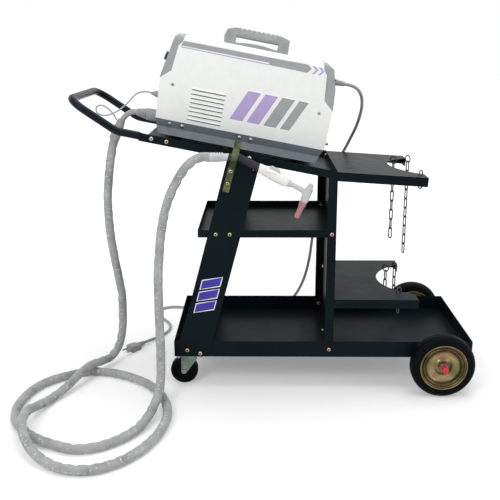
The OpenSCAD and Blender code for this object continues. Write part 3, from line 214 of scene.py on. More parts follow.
def piece(name, bm, finish, body="cart", stands_for=None, rounding=0.0, sharp=35):
    """Turns a bmesh into a piece of the object, smooth but for its edges over sharp degrees,
    which may be rounded. stands_for is the CAD node that it replaces."""
    for f in bm.faces:
        f.smooth = True
    for e in bm.edges:
        e.smooth = len(e.link_faces) == 2 and e.calc_face_angle(0) < math.radians(sharp)
    mesh = bpy.data.meshes.new(name)
    bm.to_mesh(mesh)
    bm.free()
    made = bpy.data.objects.new(name, mesh)
    bpy.context.scene.collection.objects.link(made)
    made.data.materials.append(finish)
    if rounding:
        edges = made.modifiers.new("Rounding", "BEVEL")
        edges.width = rounding
        edges.segments = 2
        edges.limit_method = "ANGLE"
        edges.angle_limit = math.radians(sharp)
        edges.harden_normals = True
        edges.use_clamp_overlap = True
    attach(made, body)
    if stands_for:
        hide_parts(stands_for)
    return made


def srgb(r, g, b):
    """A colour as a paint chart gives it, 0 to 255, as the shader's linear values."""
    return tuple(
        ((c / 255 + 0.055) / 1.055) ** 2.4 if c > 10 else c / 255 / 12.92 for c in (r, g, b)
    )


def surface(name, colour, rough, metal=0.0, **more):
    """A material with its plain values on the shader's own sockets."""
    m = bpy.data.materials.new(name)
    m.use_nodes = True
    shader = m.node_tree.nodes["Principled BSDF"]
    shader.inputs["Base Color"].default_value = (*colour, 1)
    shader.inputs["Roughness"].default_value = rough
    shader.inputs["Metallic"].default_value = metal
    for socket, value in more.items():
        shader.inputs[socket.replace("_", " ")].default_value = value
    return m


def clouds(m, scale, detail=4.0, stretch=(1, 1, 1), map_name=None, rough=0.55):
    """A noise on the piece's own coordinates, or on a UV map of it; its node."""
    tree = m.node_tree
    where = tree.nodes.new("ShaderNodeUVMap" if map_name else "ShaderNodeTexCoord")
    if map_name:
        where.uv_map = map_name
    lay = tree.nodes.new("ShaderNodeMapping")
    lay.inputs["Scale"].default_value = stretch
    tree.links.new(where.outputs["UV" if map_name else "Object"], lay.inputs["Vector"])
    texture = tree.nodes.new("ShaderNodeTexNoise")
    texture.inputs["Scale"].default_value = scale
    texture.inputs["Detail"].default_value = detail
    texture.inputs["Roughness"].default_value = rough
    tree.links.new(lay.outputs["Vector"], texture.inputs["Vector"])
    return texture


def ramp(m, value, stops):
    """Colours through (place, colour) stops along a value's socket; their socket."""
    node = m.node_tree.nodes.new("ShaderNodeValToRGB")
    line = node.color_ramp
    while len(line.elements) < len(stops):
        line.elements.new(0.5)
    for element, (place, colour) in zip(line.elements, stops):
        element.position = place
        element.color = (*colour, 1)
    m.node_tree.links.new(value, node.inputs["Fac"])
    return node.outputs["Color"]


def tint(m, texture, stops):
    """The base colour follows the texture through (place, colour) stops."""
    base = m.node_tree.nodes["Principled BSDF"].inputs["Base Color"]
    m.node_tree.links.new(ramp(m, texture.outputs["Fac"], stops), base)


def mix_over(m, factor, second, blend="MIX"):
    """Mixes a second colour with the base colour so far. Each of the two given is a socket or
    a plain value."""
    base = m.node_tree.nodes["Principled BSDF"].inputs["Base Color"]
    mix = m.node_tree.nodes.new("ShaderNodeMix")
    mix.data_type = "RGBA"
    mix.blend_type = blend
    for name, given in (("Factor", factor), ("A", base.links[0].from_socket), ("B", second)):
        if isinstance(given, bpy.types.NodeSocket):
            m.node_tree.links.new(given, mix.inputs[name])
        else:
            mix.inputs[name].default_value = given
    m.node_tree.links.new(mix.outputs["Result"], base)


def sheen_of(m, texture, low, high):
    """The roughness goes from low to high over the texture's middle range."""
    rough = m.node_tree.nodes["Principled BSDF"].inputs["Roughness"]
    spread = m.node_tree.nodes.new("ShaderNodeMapRange")
    spread.inputs["From Min"].default_value = 0.3
    spread.inputs["From Max"].default_value = 0.7
    spread.inputs["To Min"].default_value = low
    spread.inputs["To Max"].default_value = high
    m.node_tree.links.new(texture.outputs["Fac"], spread.inputs["Value"])
    m.node_tree.links.new(spread.outputs["Result"], rough)


def relief(m, texture, height, strength=1.0):
    """Bumps of a height in metres; further calls add to the first."""
    tree = m.node_tree
    shader = tree.nodes["Principled BSDF"]
    bump = tree.nodes.new("ShaderNodeBump")
    bump.inputs["Distance"].default_value = height
    bump.inputs["Strength"].default_value = strength
    tree.links.new(texture.outputs["Fac"], bump.inputs["Height"])
    if shader.inputs["Normal"].links:
        tree.links.new(shader.inputs["Normal"].links[0].from_socket, bump.inputs["Normal"])
    tree.links.new(bump.outputs["Normal"], shader.inputs["Normal"])


def moulded(name, colour, rough, shade=8, grain=0.0001, **more):
    """A coat, rubber or plastic: its colour drifts by a shade each way, its gloss varies, and
    it has a fine grain."""
    m = surface(name, srgb(*colour), rough, **more)
    darker, lighter = (
        srgb(*(max(0, min(255, c + change)) for c in colour)) for change in (-shade, shade)
    )
    tint(m, clouds(m, 38, 5), ((0.3, darker), (0.7, lighter)))
    sheen_of(m, clouds(m, 70, 4), rough - 0.07, rough + 0.08)
    relief(m, clouds(m, 1100, 2), grain, 0.4)
    return m


lead_route = metres(
    (94, -178.8, 567), (74, -178.8, 567), (51, -179, 555), (29, -181, 530), (8, -186, 492),
    (-8, -190, 448), (-18, -193, 400), (-24, -195, 350), (-28, -196, 300), (-29, -197, 250),
    (-29, -199, 200), (-28, -203, 150), (-27, -211, 104), (-26, -228, 64), (-26, -260, 40),
    (-29, -302, 32), (-38, -346, 22), (-56, -390, 13), (-84, -430, 11), (-124, -464, 11),
    (-170, -476, 11), (-216, -462, 11), (-262, -436, 11), (-302, -400, 11), (-332, -356, 11),
    (-347, -304, 11), (-347, -252, 11), (-336, -200, 11), (-312, -158, 11), (-272, -124, 11),
    (-226, -102, 11), (-178, -104, 11), (-132, -122, 11), (-90, -150, 11), (-54, -186, 11),
    (-28, -228, 11), (-9, -276, 11), (-1, -326, 11), (-4, -378, 11), (-16, -430, 11),
    (-40, -482, 11), (-76, -526, 11), (-122, -552, 11), (-172, -552, 11), (-218, -530, 13),
    (-256, -496, 20), (-284, -454, 30), (-302, -408, 35), (-306, -356, 33), (-299, -304, 20),
    (-282, -254, 12), (-259, -206, 17), (-236, -160, 30), (-216, -114, 35), (-198, -72, 27),
    (-180, -36, 25), (-164, -10, 46), (-155, 0, 86), (-151, -4, 136), (-150, -10, 188),
    (-155, -18, 240), (-161, -25, 292), (-166, -31, 344), (-168, -35, 396), (-167, -38, 446),
    (-162, -40, 494), (-155, -40, 540), (-146, -40, 580), (-134, -40, 612), (-120, -40, 638),
    (-105, -40, 651), (-90, -40, 654.6), (-76, -40, 652.2),
)
lead_d = 0.021
lead_tail_d = 0.013
boot_at = len(lead_route) - 5  # the route's point where the sleeve ends in the splitter boot
sleeve_path = smooth_route(lead_route[: boot_at + 1], 16)
tail_path = smooth_route(lead_route[boot_at:], 8)

sleeve_suede = surface(
    "sleeve suede", srgb(154, 156, 155), 0.85, Sheen_Weight=0.2, Sheen_Roughness=0.5
)
blotches = clouds(sleeve_suede, 30, 5, (1, 0.6, 1), "Hose")
tint(sleeve_suede, blotches, (
    (0.30, srgb(124, 126, 126)), (0.46, srgb(154, 156, 155)),
    (0.60, srgb(162, 164, 163)), (0.76, srgb(184, 185, 192)),
))
# Painted highlights: small pale flecks mixed into the sleeve's colour stand for glints of light on
# its jacket.
painted_glint_spots = clouds(sleeve_suede, 150, 2, (0.7, 1, 1), "Hose").outputs["Fac"]
mix_over(
    sleeve_suede, ramp(sleeve_suede, painted_glint_spots, ((0.58, (0, 0, 0)), (0.7, (1, 1, 1)))),
    (*srgb(198, 199, 204), 1),
)
relief(sleeve_suede, clouds(sleeve_suede, 900, 3, (1, 1, 1), "Hose"), 0.0003, 0.5)
relief(sleeve_suede, clouds(sleeve_suede, 75, 3, (0.5, 1, 1), "Hose"), 0.0012, 0.5)
pucker_gap, pucker_depth, pucker_gain, pucker_idle = 0.026, 0.0021, 1.5, 0.12
ripple_depth = 0.0007
held_end = 0.05


def slack(far, out, bend, a, whole):
    """Folds of the sleeve: deep ones where a bend pushes it together, faint ones elsewhere, and
    none at its held ends."""
    hold = min(1.0, far / held_end, (whole - far) / held_end)
    pushed = min(1.0, max(0.0, out.dot(bend)) * pucker_gain + pucker_idle)
    drift = 2.5 * noise.noise(Vector((far * 9, 3, 0)))
    fold = (0.5 - 0.5 * math.cos(math.tau * far / pucker_gap + drift)) ** 2
    soft = noise.noise(Vector((math.cos(a) * 1.6, math.sin(a) * 1.6, far * 45)))
    return hold * (ripple_depth * soft - pucker_depth * pushed * fold)


torch_sleeve = piece(
    "torch_lead_sleeve", hose(sleeve_path, lead_d / 2, 24, slack), sleeve_suede,
    stands_for="torch_lead",
)
pale_rubber = moulded("pale rubber", (158, 159, 162), 0.6, 5)
torch_tail = piece(
    "torch_lead_tail", hose(tail_path, lead_tail_d / 2, 24), pale_rubber,
    stands_for="torch_lead",
)

# ---- Trigger wire ----
# A thin two-core wire that leaves the splitter boot and loops up to the small round
# plug in the welder's trigger socket.

trigger_route = smooth_route(
    metres(
        (-134, -50, 636), (-140, -55, 650), (-150, -61, 663), (-164, -67, 672), (-175, -73, 668),
        (-173, -79, 656), (-158, -82, 650), (-140, -80, 653), (-122, -73, 662), (-106, -62, 675),
        (-94, -50, 689), (-80, -43, 699), (-64, -40, 701), (-48, -40, 698),
    ),
    6,
)
trigger_wire_d = 0.0036
trigger_wire = piece(
    "trigger_wire", hose(trigger_route, trigger_wire_d / 2, 12), pale_rubber,
    stands_for="trigger_wire",
)

# ---- Power cord ----
# Round rubber cord that leaves the welder's rear gland, falls behind the cart to the
# floor and runs under it to a two-pin plug.

power_route = smooth_route(
    metres(
        (399.38, 32, 715.81), (412.14, 32, 713.31), (430, 33, 709), (445, 39, 700), (456, 52, 683),
        (461, 74, 658), (460, 100, 630), (455, 128, 600), (446, 154, 570), (434, 177, 537),
        (418, 195, 502), (399, 206, 465), (382, 213, 426), (369, 217, 384), (361, 221, 340),
        (356, 225, 296), (352, 230, 252), (347, 236, 209), (339, 244, 167), (327, 254, 127),
        (309, 266, 89), (284, 280, 55), (252, 295, 28), (214, 309, 11), (172, 321, 5),
        (130, 332, 5), (88, 344, 5), (46, 359, 5), (6, 377, 5), (-34, 391, 5),
        (-72, 394, 5), (-100, 376, 5), (-110, 346, 5), (-100, 314, 5), (-80, 282, 5),
        (-62, 248, 5), (-56, 212, 5), (-64, 176, 5), (-82, 142, 6), (-102, 113, 8),
        (-116, 93, 9),
    ),
    6,
)
cord_rubber = moulded("cord rubber", (150, 151, 153), 0.55, 6)
power_cord_d = 0.008
power_cord = piece(
    "power_cord", hose(power_route, power_cord_d / 2, 16), cord_rubber,
    stands_for="power_cord",
)

# ---- Folded sheet frame ----
# Trays, shelves, legs and the rear panel are cut and folded from 1.5 mm sheet, with a
# black powder coat that levels over rims and folds. They are bolted together.

powder = surface(
    "black powder coat", srgb(10, 18, 21), 0.4,
    Specular_IOR_Level=0.07, Specular_Tint=(0.7, 0.9, 1.0, 1),
)
tint(powder, clouds(powder, 5, 3), ((0.35, srgb(8, 15, 18)), (0.65, srgb(13, 22, 26))))
sheen_of(powder, clouds(powder, 24, 4), 0.36, 0.43)
relief(powder, clouds(powder, 620, 2), 0.00012, 0.4)


def merged(node):
    """A copy of a CAD node's mesh with its doubles merged and its triangles paired."""
    bm = bmesh.new()
    bm.from_mesh(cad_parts[node].data)
    bmesh.ops.remove_doubles(bm, verts=bm.verts, dist=1e-6)
    bmesh.ops.join_triangles(
        bm, faces=bm.faces, angle_face_threshold=0.01, angle_shape_threshold=math.pi
    )
    return bm


def drawn(node, finish, rounding=0.0, body="cart", name=None):
    """Piece with a CAD node's own shape and, unless another is given, its name."""
    return piece(name or node, merged(node), finish, body, node, rounding)


one_plane = 0.02  # radians within which faces side by side count as flat


def flat_parts(bm):
    """The mesh's flat parts: groups of faces side by side in one plane."""
    bm.faces.index_update()
    done = set()
    parts = []
    for first in bm.faces:
        if first.index in done:
            continue
        done.add(first.index)
        part = [first]
        for f in part:
            for e in f.edges:
                if len(e.link_faces) == 2 and e.calc_face_angle(0) < one_plane:
                    for other in e.link_faces:
                        if other.index not in done:
                            done.add(other.index)
                            part.append(other)
        parts.append(part)
    return parts


rim_under = 0.0045  # a flat part narrower than this is the sheet's cut rim
fold_over = 0.5  # radians that an edge turns if it is to be rounded
fold_least = 0.004  # length of the shortest edge that is rounded


def folded(node, name, fold, rim):
    """Sheet piece whose folds are rounded by fold, and whose cut rims by a share rim of that."""
    bm = merged(node)
    weight = bm.edges.layers.float.new("bevel_weight_edge")
    width = {}
    for part in flat_parts(bm):
        area = sum(f.calc_area() for f in part)
        border = sum(
            e.calc_length() for f in part for e in f.edges if e.calc_face_angle(9) > one_plane
        )
        for f in part:
            width[f.index] = 2 * area / border
    for e in bm.edges:
        turns = len(e.link_faces) == 2 and e.calc_face_angle(0) > fold_over
        if turns and e.calc_length() > fold_least:
            e[weight] = rim if min(width[f.index] for f in e.link_faces) < rim_under else 1.0
    made = piece(name, bm, powder, stands_for=node, sharp=32)
    edges = made.modifiers.new("Folds and rims", "BEVEL")
    edges.width = fold
    edges.segments = 3
    edges.limit_method = "WEIGHT"
    edges.harden_normals = True
    edges.use_clamp_overlap = True


for node, name in (
    ("bottom_tray", "bottom_tray"), ("middle_shelf", "middle_shelf"), ("welder_tray", "top_tray"),
    ("rear_panel", "rear_panel"), ("upper_gas_shelf", "upper_bottle_shelf"),
    ("lower_gas_shelf", "lower_bottle_shelf"),
):
    folded(node, name, 0.0014, 0.25)
for node in ("near_leg", "far_leg", "axle_brackets"):
    folded(node, node, 0.0005, 1.0)


def plate(outline, depth, place):
    """Thin flat plate: an outline in its own XZ plane, in millimetres, raised by depth in
    metres towards -Y."""
    bm = bmesh.new()
    face = bm.faces.new([bm.verts.new((a / 1000, 0, n / 1000)) for a, n in outline])
    raised = bmesh.ops.extrude_face_region(bm, geom=[face])["geom"]
    bmesh.ops.translate(
        bm, vec=(0, -depth, 0), verts=[v for v in raised if isinstance(v, bmesh.types.BMVert)]
    )
    bmesh.ops.recalc_face_normals(bm, faces=bm.faces)
    bm.transform(place)
    return bm


def joined(parts):
    """One bmesh of several, which are used up."""
    whole = bmesh.new()
    for part in parts:
        mesh = bpy.data.meshes.new("part")
        part.to_mesh(mesh)
        part.free()
        whole.from_mesh(mesh)
        bpy.data.meshes.remove(mesh)
    return whole


def grown(outline, by):
    """The outline with each point moved away from its middle."""
    mid_a = sum(p[0] for p in outline) / len(outline)
    mid_n = sum(p[1] for p in outline) / len(outline)
    return [
        (a + math.copysign(by, a - mid_a), n + math.copysign(by, n - mid_n)) for a, n in outline
    ]


# Slanted bars printed on a film stuck to each leg. In a leg's frame X runs across it and Z up it.
leg_lean = math.radians(14.8)
leg_face = 0.16652
mirror = {"near": Matrix(), "far": Matrix.Scale(-1, 4, (0, 1, 0))}
leg_frame = Matrix.Translation((-0.237, 0, 0.085)) @ Matrix.Rotation(leg_lean, 4, "Y")
film_violet = moulded("violet film", (46, 26, 150), 0.4, 6, 0.00004)
film_white = moulded("white film", (226, 226, 230), 0.4, 4, 0.00004)
leg_bars = [[(15, u), (57, u + 20), (57, u + 41), (15, u + 21)] for u in (118, 148, 178)]
for side in ("near", "far"):
    film = leg_frame @ mirror[side] @ Matrix.Translation((0, -leg_face, 0))
    for name, bars, depth, finish in (
        ("edge", [grown(bar, 2) for bar in leg_bars], 0.0001, film_white),
        ("bars", leg_bars, 0.0002, film_violet),
    ):
        bm = joined([plate(bar, depth, film) for bar in bars])
        bmesh.ops.recalc_face_normals(bm, faces=bm.faces)
        piece(f"{side}_leg_film_{name}", bm, finish)

# ---- Push handle ----
# One length of steel tube, bent at its knees and corners, with flat tabs welded inside
# its ends. The tabs are bolted to the top tray's side walls.

# The sloped top tray's frame, in which the handle and the welder are set out
tray_slope = math.radians(11.1)
slope = Matrix.Translation((0.1375, 0, 0.5157)) @ Matrix.Rotation(tray_slope, 4, "Y")


def bent(points, radii, steps):
    """Straight runs between points, joined by arcs of the given radii."""
    made = [points[0]]
    for a, b, c, r in zip(points, points[1:], points[2:], radii):
        back, on = (a - b).normalized(), (c - b).normalized()
        half = back.angle(on) / 2
        centre = b + (back + on).normalized() * (r / math.sin(half))
        start = b + back * (r / math.tan(half)) - centre
        stop = b + on * (r / math.tan(half)) - centre
        for k in range(steps + 1):
            made.append(centre + start.slerp(stop, k / steps).normalized() * r)
    return made + [points[-1]]


def block(size, middle, place=Matrix()):
    """Solid block of a size round its middle, both in millimetres, then placed."""
    bm = bmesh.new()
    there = Matrix.Translation([c / 1000 for c in middle])
    stretch = Matrix.Diagonal([s / 1000 for s in size] + [1])
    bmesh.ops.create_cube(bm, size=1, matrix=place @ there @ stretch)
    return bm


handle_line = [
    (-456, -153.5, 8.5), (-508, -153.5, 8.5), (-623.2, -153.5, 57.4),
    (-623.2, 153.5, 57.4), (-508, 153.5, 8.5), (-456, 153.5, 8.5),
]
handle_d = 0.018
handle_bends = (0.060, 0.042, 0.042, 0.060)
handle_path = bent([slope @ (Vector(p) / 1000) for p in handle_line], handle_bends, 10)
tube_black = surface(
    "black handle coat", srgb(9, 13, 18), 0.3,
    Specular_IOR_Level=0.16, Specular_Tint=(0.62, 0.8, 1.0, 1),
)
sheen_of(tube_black, clouds(tube_black, 24, 3), 0.29, 0.36)
relief(tube_black, clouds(tube_black, 300, 2), 0.00004, 0.25)
parts = [hose(handle_path, handle_d / 2, 28)]
for s in (-1, 1):
    tab = block((72, 4, 16), (-420, s * 161, 8.5), slope)
    weld = block((9, 10, 16), (-454.5, s * 158, 8.5), slope)
    parts += [tab, weld]
piece(
    "push_handle", joined(parts), tube_black,
    stands_for="push_handle", rounding=0.0006,
)

# ---- Cable hooks ----
# Flat steel bars with an olive passivate, bent so that the upper arm stands off the leg,
# and bolted to the leg through two holes.

olive = surface("olive passivate", srgb(72, 80, 52), 0.46, 0.8)
tint(olive, clouds(olive, 55, 5), (
    (0.32, srgb(50, 58, 36)), (0.5, srgb(74, 82, 52)), (0.7, srgb(104, 110, 76)),
))
sheen_of(olive, clouds(olive, 130), 0.36, 0.52)
relief(olive, clouds(olive, 240, 3), 0.0002, 0.35)
drawn("cable_hooks", olive, 0.0007)

# ---- Bolts and nuts ----
# Domed zinc plated bolts with a hexagon socket, and hexagon nuts behind. The plating's
# passivate runs from silver to pale copper and yellow.

plating = surface("bolt plating", srgb(198, 194, 184), 0.26, 1.0)
tint(plating, clouds(plating, 19, 1), (
    (0.40, srgb(176, 173, 166)), (0.48, srgb(186, 146, 118)),
    (0.55, srgb(176, 166, 112)), (0.62, srgb(178, 176, 170)),
))
sheen_of(plating, clouds(plating, 200), 0.26, 0.4)
# The sockets' floors are near black: a painted shade for the dark inside them.
shadowed = moulded("socket painted shade", (16, 16, 17), 0.6, 4)
bm = merged("frame_bolts")
# The heads' flat tops are told by their area, which is alike to a share of it, and a
# socket is sunk into each
bolt_top = math.pi * 0.00264**2
alike = 0.06
socket_wall, socket_taper, socket_depth = 0.0006, 0.0001, 0.0016
tops = []
for part in flat_parts(bm):
    if abs(sum(f.calc_area() for f in part) / bolt_top - 1) < alike:
        tops += bmesh.ops.dissolve_faces(bm, faces=part)["region"]
for inwards, down in ((socket_wall, 0), (socket_taper, socket_depth)):
    bmesh.ops.inset_individual(
        bm, faces=tops, thickness=inwards, depth=-down, use_even_offset=True
    )
# Painted shade: the sockets' floors take the second, near-black material.
for f in tops:
    f.material_index = 1
bolts = piece("frame_bolts", bm, plating, stands_for="frame_bolts")
bolts.data.materials.append(shadowed)
drawn("frame_nuts", plating, 0.0003)

# ---- Retaining chains ----
# Short lengths of welded wire chain that hang from rings in the bottle shelves' rims,
# with a zinc plating that has gone dull and brown.

chain_zinc = surface("dull chain zinc", srgb(80, 74, 68), 0.42, 1.0)
tint(chain_zinc, clouds(chain_zinc, 60, 4), (
    (0.34, srgb(48, 42, 38)), (0.5, srgb(80, 74, 68)), (0.7, srgb(120, 112, 100)),
))
sheen_of(chain_zinc, clouds(chain_zinc, 200), 0.3, 0.5)
for node in ("upper_chain", "lower_chain"):
    drawn(node, chain_zinc)

# ---- Axle ----
# A plain zinc plated rod through both brackets, with a spacer inside and a washer outside
# each wheel, and a red plastic cap pushed on to each end.

zinc = surface("bright zinc", srgb(146, 148, 152), 0.34, 1.0)
tint(zinc, clouds(zinc, 90, 4), ((0.3, srgb(126, 130, 136)), (0.7, srgb(166, 166, 166))))
sheen_of(zinc, clouds(zinc, 200), 0.22, 0.4)
drawn("axle", zinc, 0.0004, name="axle_rod")
drawn("axle_washers", zinc, 0.0003, name="axle_spacers_and_washers")


def turned(profile, place=Matrix(), sides=96):
    """Solid or ring turned round Z from its (radius, height) outline in millimetres, then
    placed."""
    bm = bmesh.new()
    line = [bm.verts.new((r / 1000, 0, h / 1000)) for r, h in profile]
    for a, b in zip(line, line[1:]):
        bm.edges.new((a, b))
    bmesh.ops.spin(
        bm, geom=bm.verts[:] + bm.edges[:], cent=(0, 0, 0), axis=(0, 0, 1), angle=math.tau,
        steps=sides, use_merge=True,
    )
    bmesh.ops.remove_doubles(bm, verts=bm.verts, dist=1e-7)
    bmesh.ops.recalc_face_normals(bm, faces=bm.faces)
    bm.transform(place)
    return bm


def closed(profile):
    """The outline of a ring, back to its first point."""
    return list(profile) + [profile[0]]


def from_side(x, y, z, side):
    """Z runs outwards across the cart from a point of its drawing, on the near or far side."""
    way = -1 if side == "near" else 1
    there = Matrix.Translation((x / 1000 - drawing_x, way * y / 1000, z / 1000))
    return there @ Matrix.Rotation(math.radians(-90 * way), 4, "X")


red = moulded("red cap plastic", (192, 16, 34), 0.32, 10, 0.00006)
cap_line = [
    (0, 0), (7.3, 0), (7.9, 0.5), (8, 1.2), (7.9, 11), (7.4, 13), (6.2, 14.3), (4, 14.9), (0, 15),
]
axle_x, axle_z, cap_y = 638, 76, 218.8
caps = [turned(cap_line, from_side(axle_x, cap_y, axle_z, side), 40) for side in ("near", "far")]
piece("axle_caps", joined(caps), red, stands_for="axle_caps")

# ---- Large wheels ----
# Solid black rubber tyres on pressed steel rims, whose two dished halves meet at the
# tyre's middle. The rims' passivate is gold, olive and pink in patches.

tyre_rubber = surface(
    "tyre rubber", srgb(6, 8, 10), 0.44,
    Specular_IOR_Level=0.06, Specular_Tint=(0.75, 0.87, 1.0, 1),
)
tint(tyre_rubber, clouds(tyre_rubber, 14, 5), ((0.35, srgb(4, 6, 8)), (0.65, srgb(8, 10, 12))))
sheen_of(tyre_rubber, clouds(tyre_rubber, 26, 5), 0.42, 0.6)
relief(tyre_rubber, clouds(tyre_rubber, 900, 3), 0.00015, 0.4)
tyre_outline = [
    (55.5, 0.6), (58, 0), (63, 0.4), (67, 1.6), (68, 1.2), (70, 2.4), (73.2, 5), (75.2, 8.6),
    (76, 12), (76, 13), (74.6, 13.2), (74.6, 14.8), (76, 15), (76, 24), (74.6, 24.2), (74.6, 25.8),
    (76, 26), (76, 27), (75.2, 30.4), (73.2, 34), (70, 36.6), (68, 37.8), (67, 37.4), (63, 38.6),
    (58, 39), (55.5, 38.4),
]
wheel_width, wheel_y = 39, 177.5
# Radius, and depth below the wheel's side, of one pressed half from its hub to its lip
dish = smooth_route([
    Vector(p) for p in (
        (12, 9), (16, 9.2), (19, 11.2), (23, 13.2), (29, 14), (34.5, 13.4), (38.5, 11.2),
        (41.5, 7.2), (43.6, 3.8), (45.6, 2.8), (47.6, 3.6), (49.6, 6.2), (51.6, 6.6),
    )
], 3)
half_rim = [
    (6.1, 0), (11.4, 0), (12, 0.5), *dish,
    (52.8, 5.6), (53.2, 1.6), (53.8, 0.6), (54.8, 0.4), (55.5, 0.9),
]
rim_outline = [(r, wheel_width - d) for r, d in half_rim]
rim_outline += [(r, d) for r, d in reversed(half_rim)]
gold = surface("wheel passivate", srgb(150, 130, 80), 0.3, 0.9)
tint(gold, clouds(gold, 15, 2, rough=0.35), (
    (0.28, srgb(76, 66, 44)), (0.40, srgb(98, 94, 58)), (0.48, srgb(122, 110, 72)),
    (0.54, srgb(138, 122, 88)), (0.62, srgb(124, 100, 76)), (0.74, srgb(102, 88, 58)),
    (0.84, srgb(86, 84, 52)),
))
sheen_of(gold, clouds(gold, 70, 5), 0.24, 0.36)
# Painted shade and highlight: the rim is darkened in the dish's groove and lightened on its lip
# and across its bowl, standing for the light and shade of reflections. A level for each share of
# the way out from the axle multiplies its colour.
rim_radius = 0.0555
rim_shade_and_highlight = (
    (0.3, (0.75, 0.75, 0.75)), (0.50, (1.25, 1.25, 1.25)), (0.68, (1.0, 1.0, 1.0)),
    (0.80, (0.42, 0.42, 0.42)), (0.86, (0.38, 0.38, 0.38)), (0.93, (0.9, 0.9, 0.9)),
    (1.0, (1.5, 1.45, 1.4)),
)
rim_nodes, rim_links = gold.node_tree.nodes, gold.node_tree.links
spot = rim_nodes.new("ShaderNodeTexCoord")
off_axle = rim_nodes.new("ShaderNodeVectorMath")
off_axle.operation = "MULTIPLY_ADD"
off_axle.inputs[1].default_value = (1, 0, 1)
off_axle.inputs[2].default_value = (drawing_x - axle_x / 1000, 0, -axle_z / 1000)
radius = rim_nodes.new("ShaderNodeVectorMath")
radius.operation = "LENGTH"
share = rim_nodes.new("ShaderNodeMapRange")
share.inputs["From Max"].default_value = rim_radius
rim_links.new(spot.outputs["Object"], off_axle.inputs[0])
rim_links.new(off_axle.outputs[0], radius.inputs[0])
rim_links.new(radius.outputs["Value"], share.inputs["Value"])
# The painted shade and highlight multiply the passivate's colour.
mix_over(gold, 1.0, ramp(gold, share.outputs["Result"], rim_shade_and_highlight), "MULTIPLY")
relief(gold, clouds(gold, 45, 2), 0.0002, 0.2)
for side in ("near", "far"):
    hub = from_side(axle_x, wheel_y, axle_z, side)
    piece(
        side + "_wheel_tyre", turned(closed(tyre_outline), hub, 128), tyre_rubber,
        side + "_wheel", side + "_tyre", sharp=40,
    )
    piece(
        side + "_wheel_rim", turned(closed(rim_outline), hub), gold,
        side + "_wheel", side + "_rim", sharp=50,
    )

# ---- Swivel casters ----
# Pressed forks with a greenish passivate turn on a king pin under their plates. Each
# holds a small black rubber wheel on a bolt.

pale_pass = surface("caster passivate", srgb(124, 142, 116), 0.36, 0.8)
tint(pale_pass, clouds(pale_pass, 48, 3), (
    (0.36, srgb(98, 118, 122)), (0.52, srgb(112, 130, 120)),
    (0.66, srgb(146, 150, 110)), (0.80, srgb(178, 172, 126)),
))
sheen_of(pale_pass, clouds(pale_pass, 70, 5), 0.28, 0.44)
for side in ("near", "far"):
    caster, swivel, roller = side + "_caster_", side + "_swivel", side + "_roller"
    drawn(caster + "plate", zinc, 0.0003)
    drawn(caster + "fork", pale_pass, 0.0006, swivel, side + "_fork")
    drawn(caster + "axle", zinc, 0.0004, swivel, caster + "bolt")
    drawn(caster + "wheel", tyre_rubber, 0.0006, roller, roller + "_wheel")

# ---- Welder case ----
# A white coated steel cover with pressed louvres over a grey base sheet, held by two
# screws on each side. It stands on four rubber feet in the top tray.

# The welder's frame: X runs from its front to its rear, and Z is 0 at the tray's floor
welder = slope @ Matrix.Translation((-0.440, 0, 0))
case_white = moulded("white case coat", (234, 236, 234), 0.42, 3, 0.00006)
case_grey = moulded("grey moulding", (150, 151, 153), 0.5, 5, 0.00012)
drawn("case_cover", case_white, 0.0004)
drawn("case_base", case_grey, 0.0004)
drawn("case_screws", zinc, 0.0003)
black_rubber = moulded("black rubber", (30, 31, 34), 0.6, 5, Specular_IOR_Level=0.3)
drawn("case_feet", black_rubber, 0.0008)

# ---- Case skirt ----
# A slate coated steel skirt along the foot of the cover on both sides, which flares out
# below its fold and is held by four domed screws. It starts as the cover's own outer face.

slate = moulded("slate coat", (82, 89, 97), 0.4, 4, 0.00005)
case_half = 0.0795
skirt_top, skirt_fold = 0.0466, 0.0302
skirt_off, skirt_flare, skirt_sheet = 0.0004, 0.9, 0.0010
bm = merged("case_cover")
bm.transform(welder.inverted())
for height, trim in ((skirt_top, True), (skirt_fold, False)):
    bmesh.ops.bisect_plane(
        bm, geom=bm.verts[:] + bm.edges[:] + bm.faces[:], plane_co=(0, 0, height),
        plane_no=(0, 0, 1), clear_outer=trim,
    )
hidden = [f for f in bm.faces if f.normal.y * f.calc_center_median().y < 0.9 * case_half]
bmesh.ops.delete(bm, geom=hidden, context="FACES")
for v in bm.verts:
    out = skirt_off + skirt_flare * max(0.0, skirt_fold - v.co.z)
    v.co.y += math.copysign(out, v.co.y)
bmesh.ops.solidify(bm, geom=bm.faces[:], thickness=-skirt_sheet)
bmesh.ops.recalc_face_normals(bm, faces=bm.faces)
bm.transform(welder)
piece("case_skirt", bm, slate, sharp=20)

# Screw heads domed round a shallow recess
head_line = [(0, 0.9), (1.5, 0.9), (1.7, 2.7), (3.3, 2.3), (4.6, 1.1), (4.9, 0), (0, 0)]
head_out, head_up = 0.0813, 0.0385
heads = []
for s in (-1, 1):
    for along in (40, 69, 205, 232):
        seat = welder @ Matrix.Translation((along / 1000, s * head_out, head_up))
        heads.append(turned(head_line, seat @ Matrix.Rotation(math.radians(-90 * s), 4, "X"), 20))
piece("skirt_screws", joined(heads), zinc)

# ---- Case markings ----
# Printed film on both sides of the cover: a grey band that ends in an arrow, a violet
# line under it, two violet chevrons, and slanted violet and grey bars with white edges.

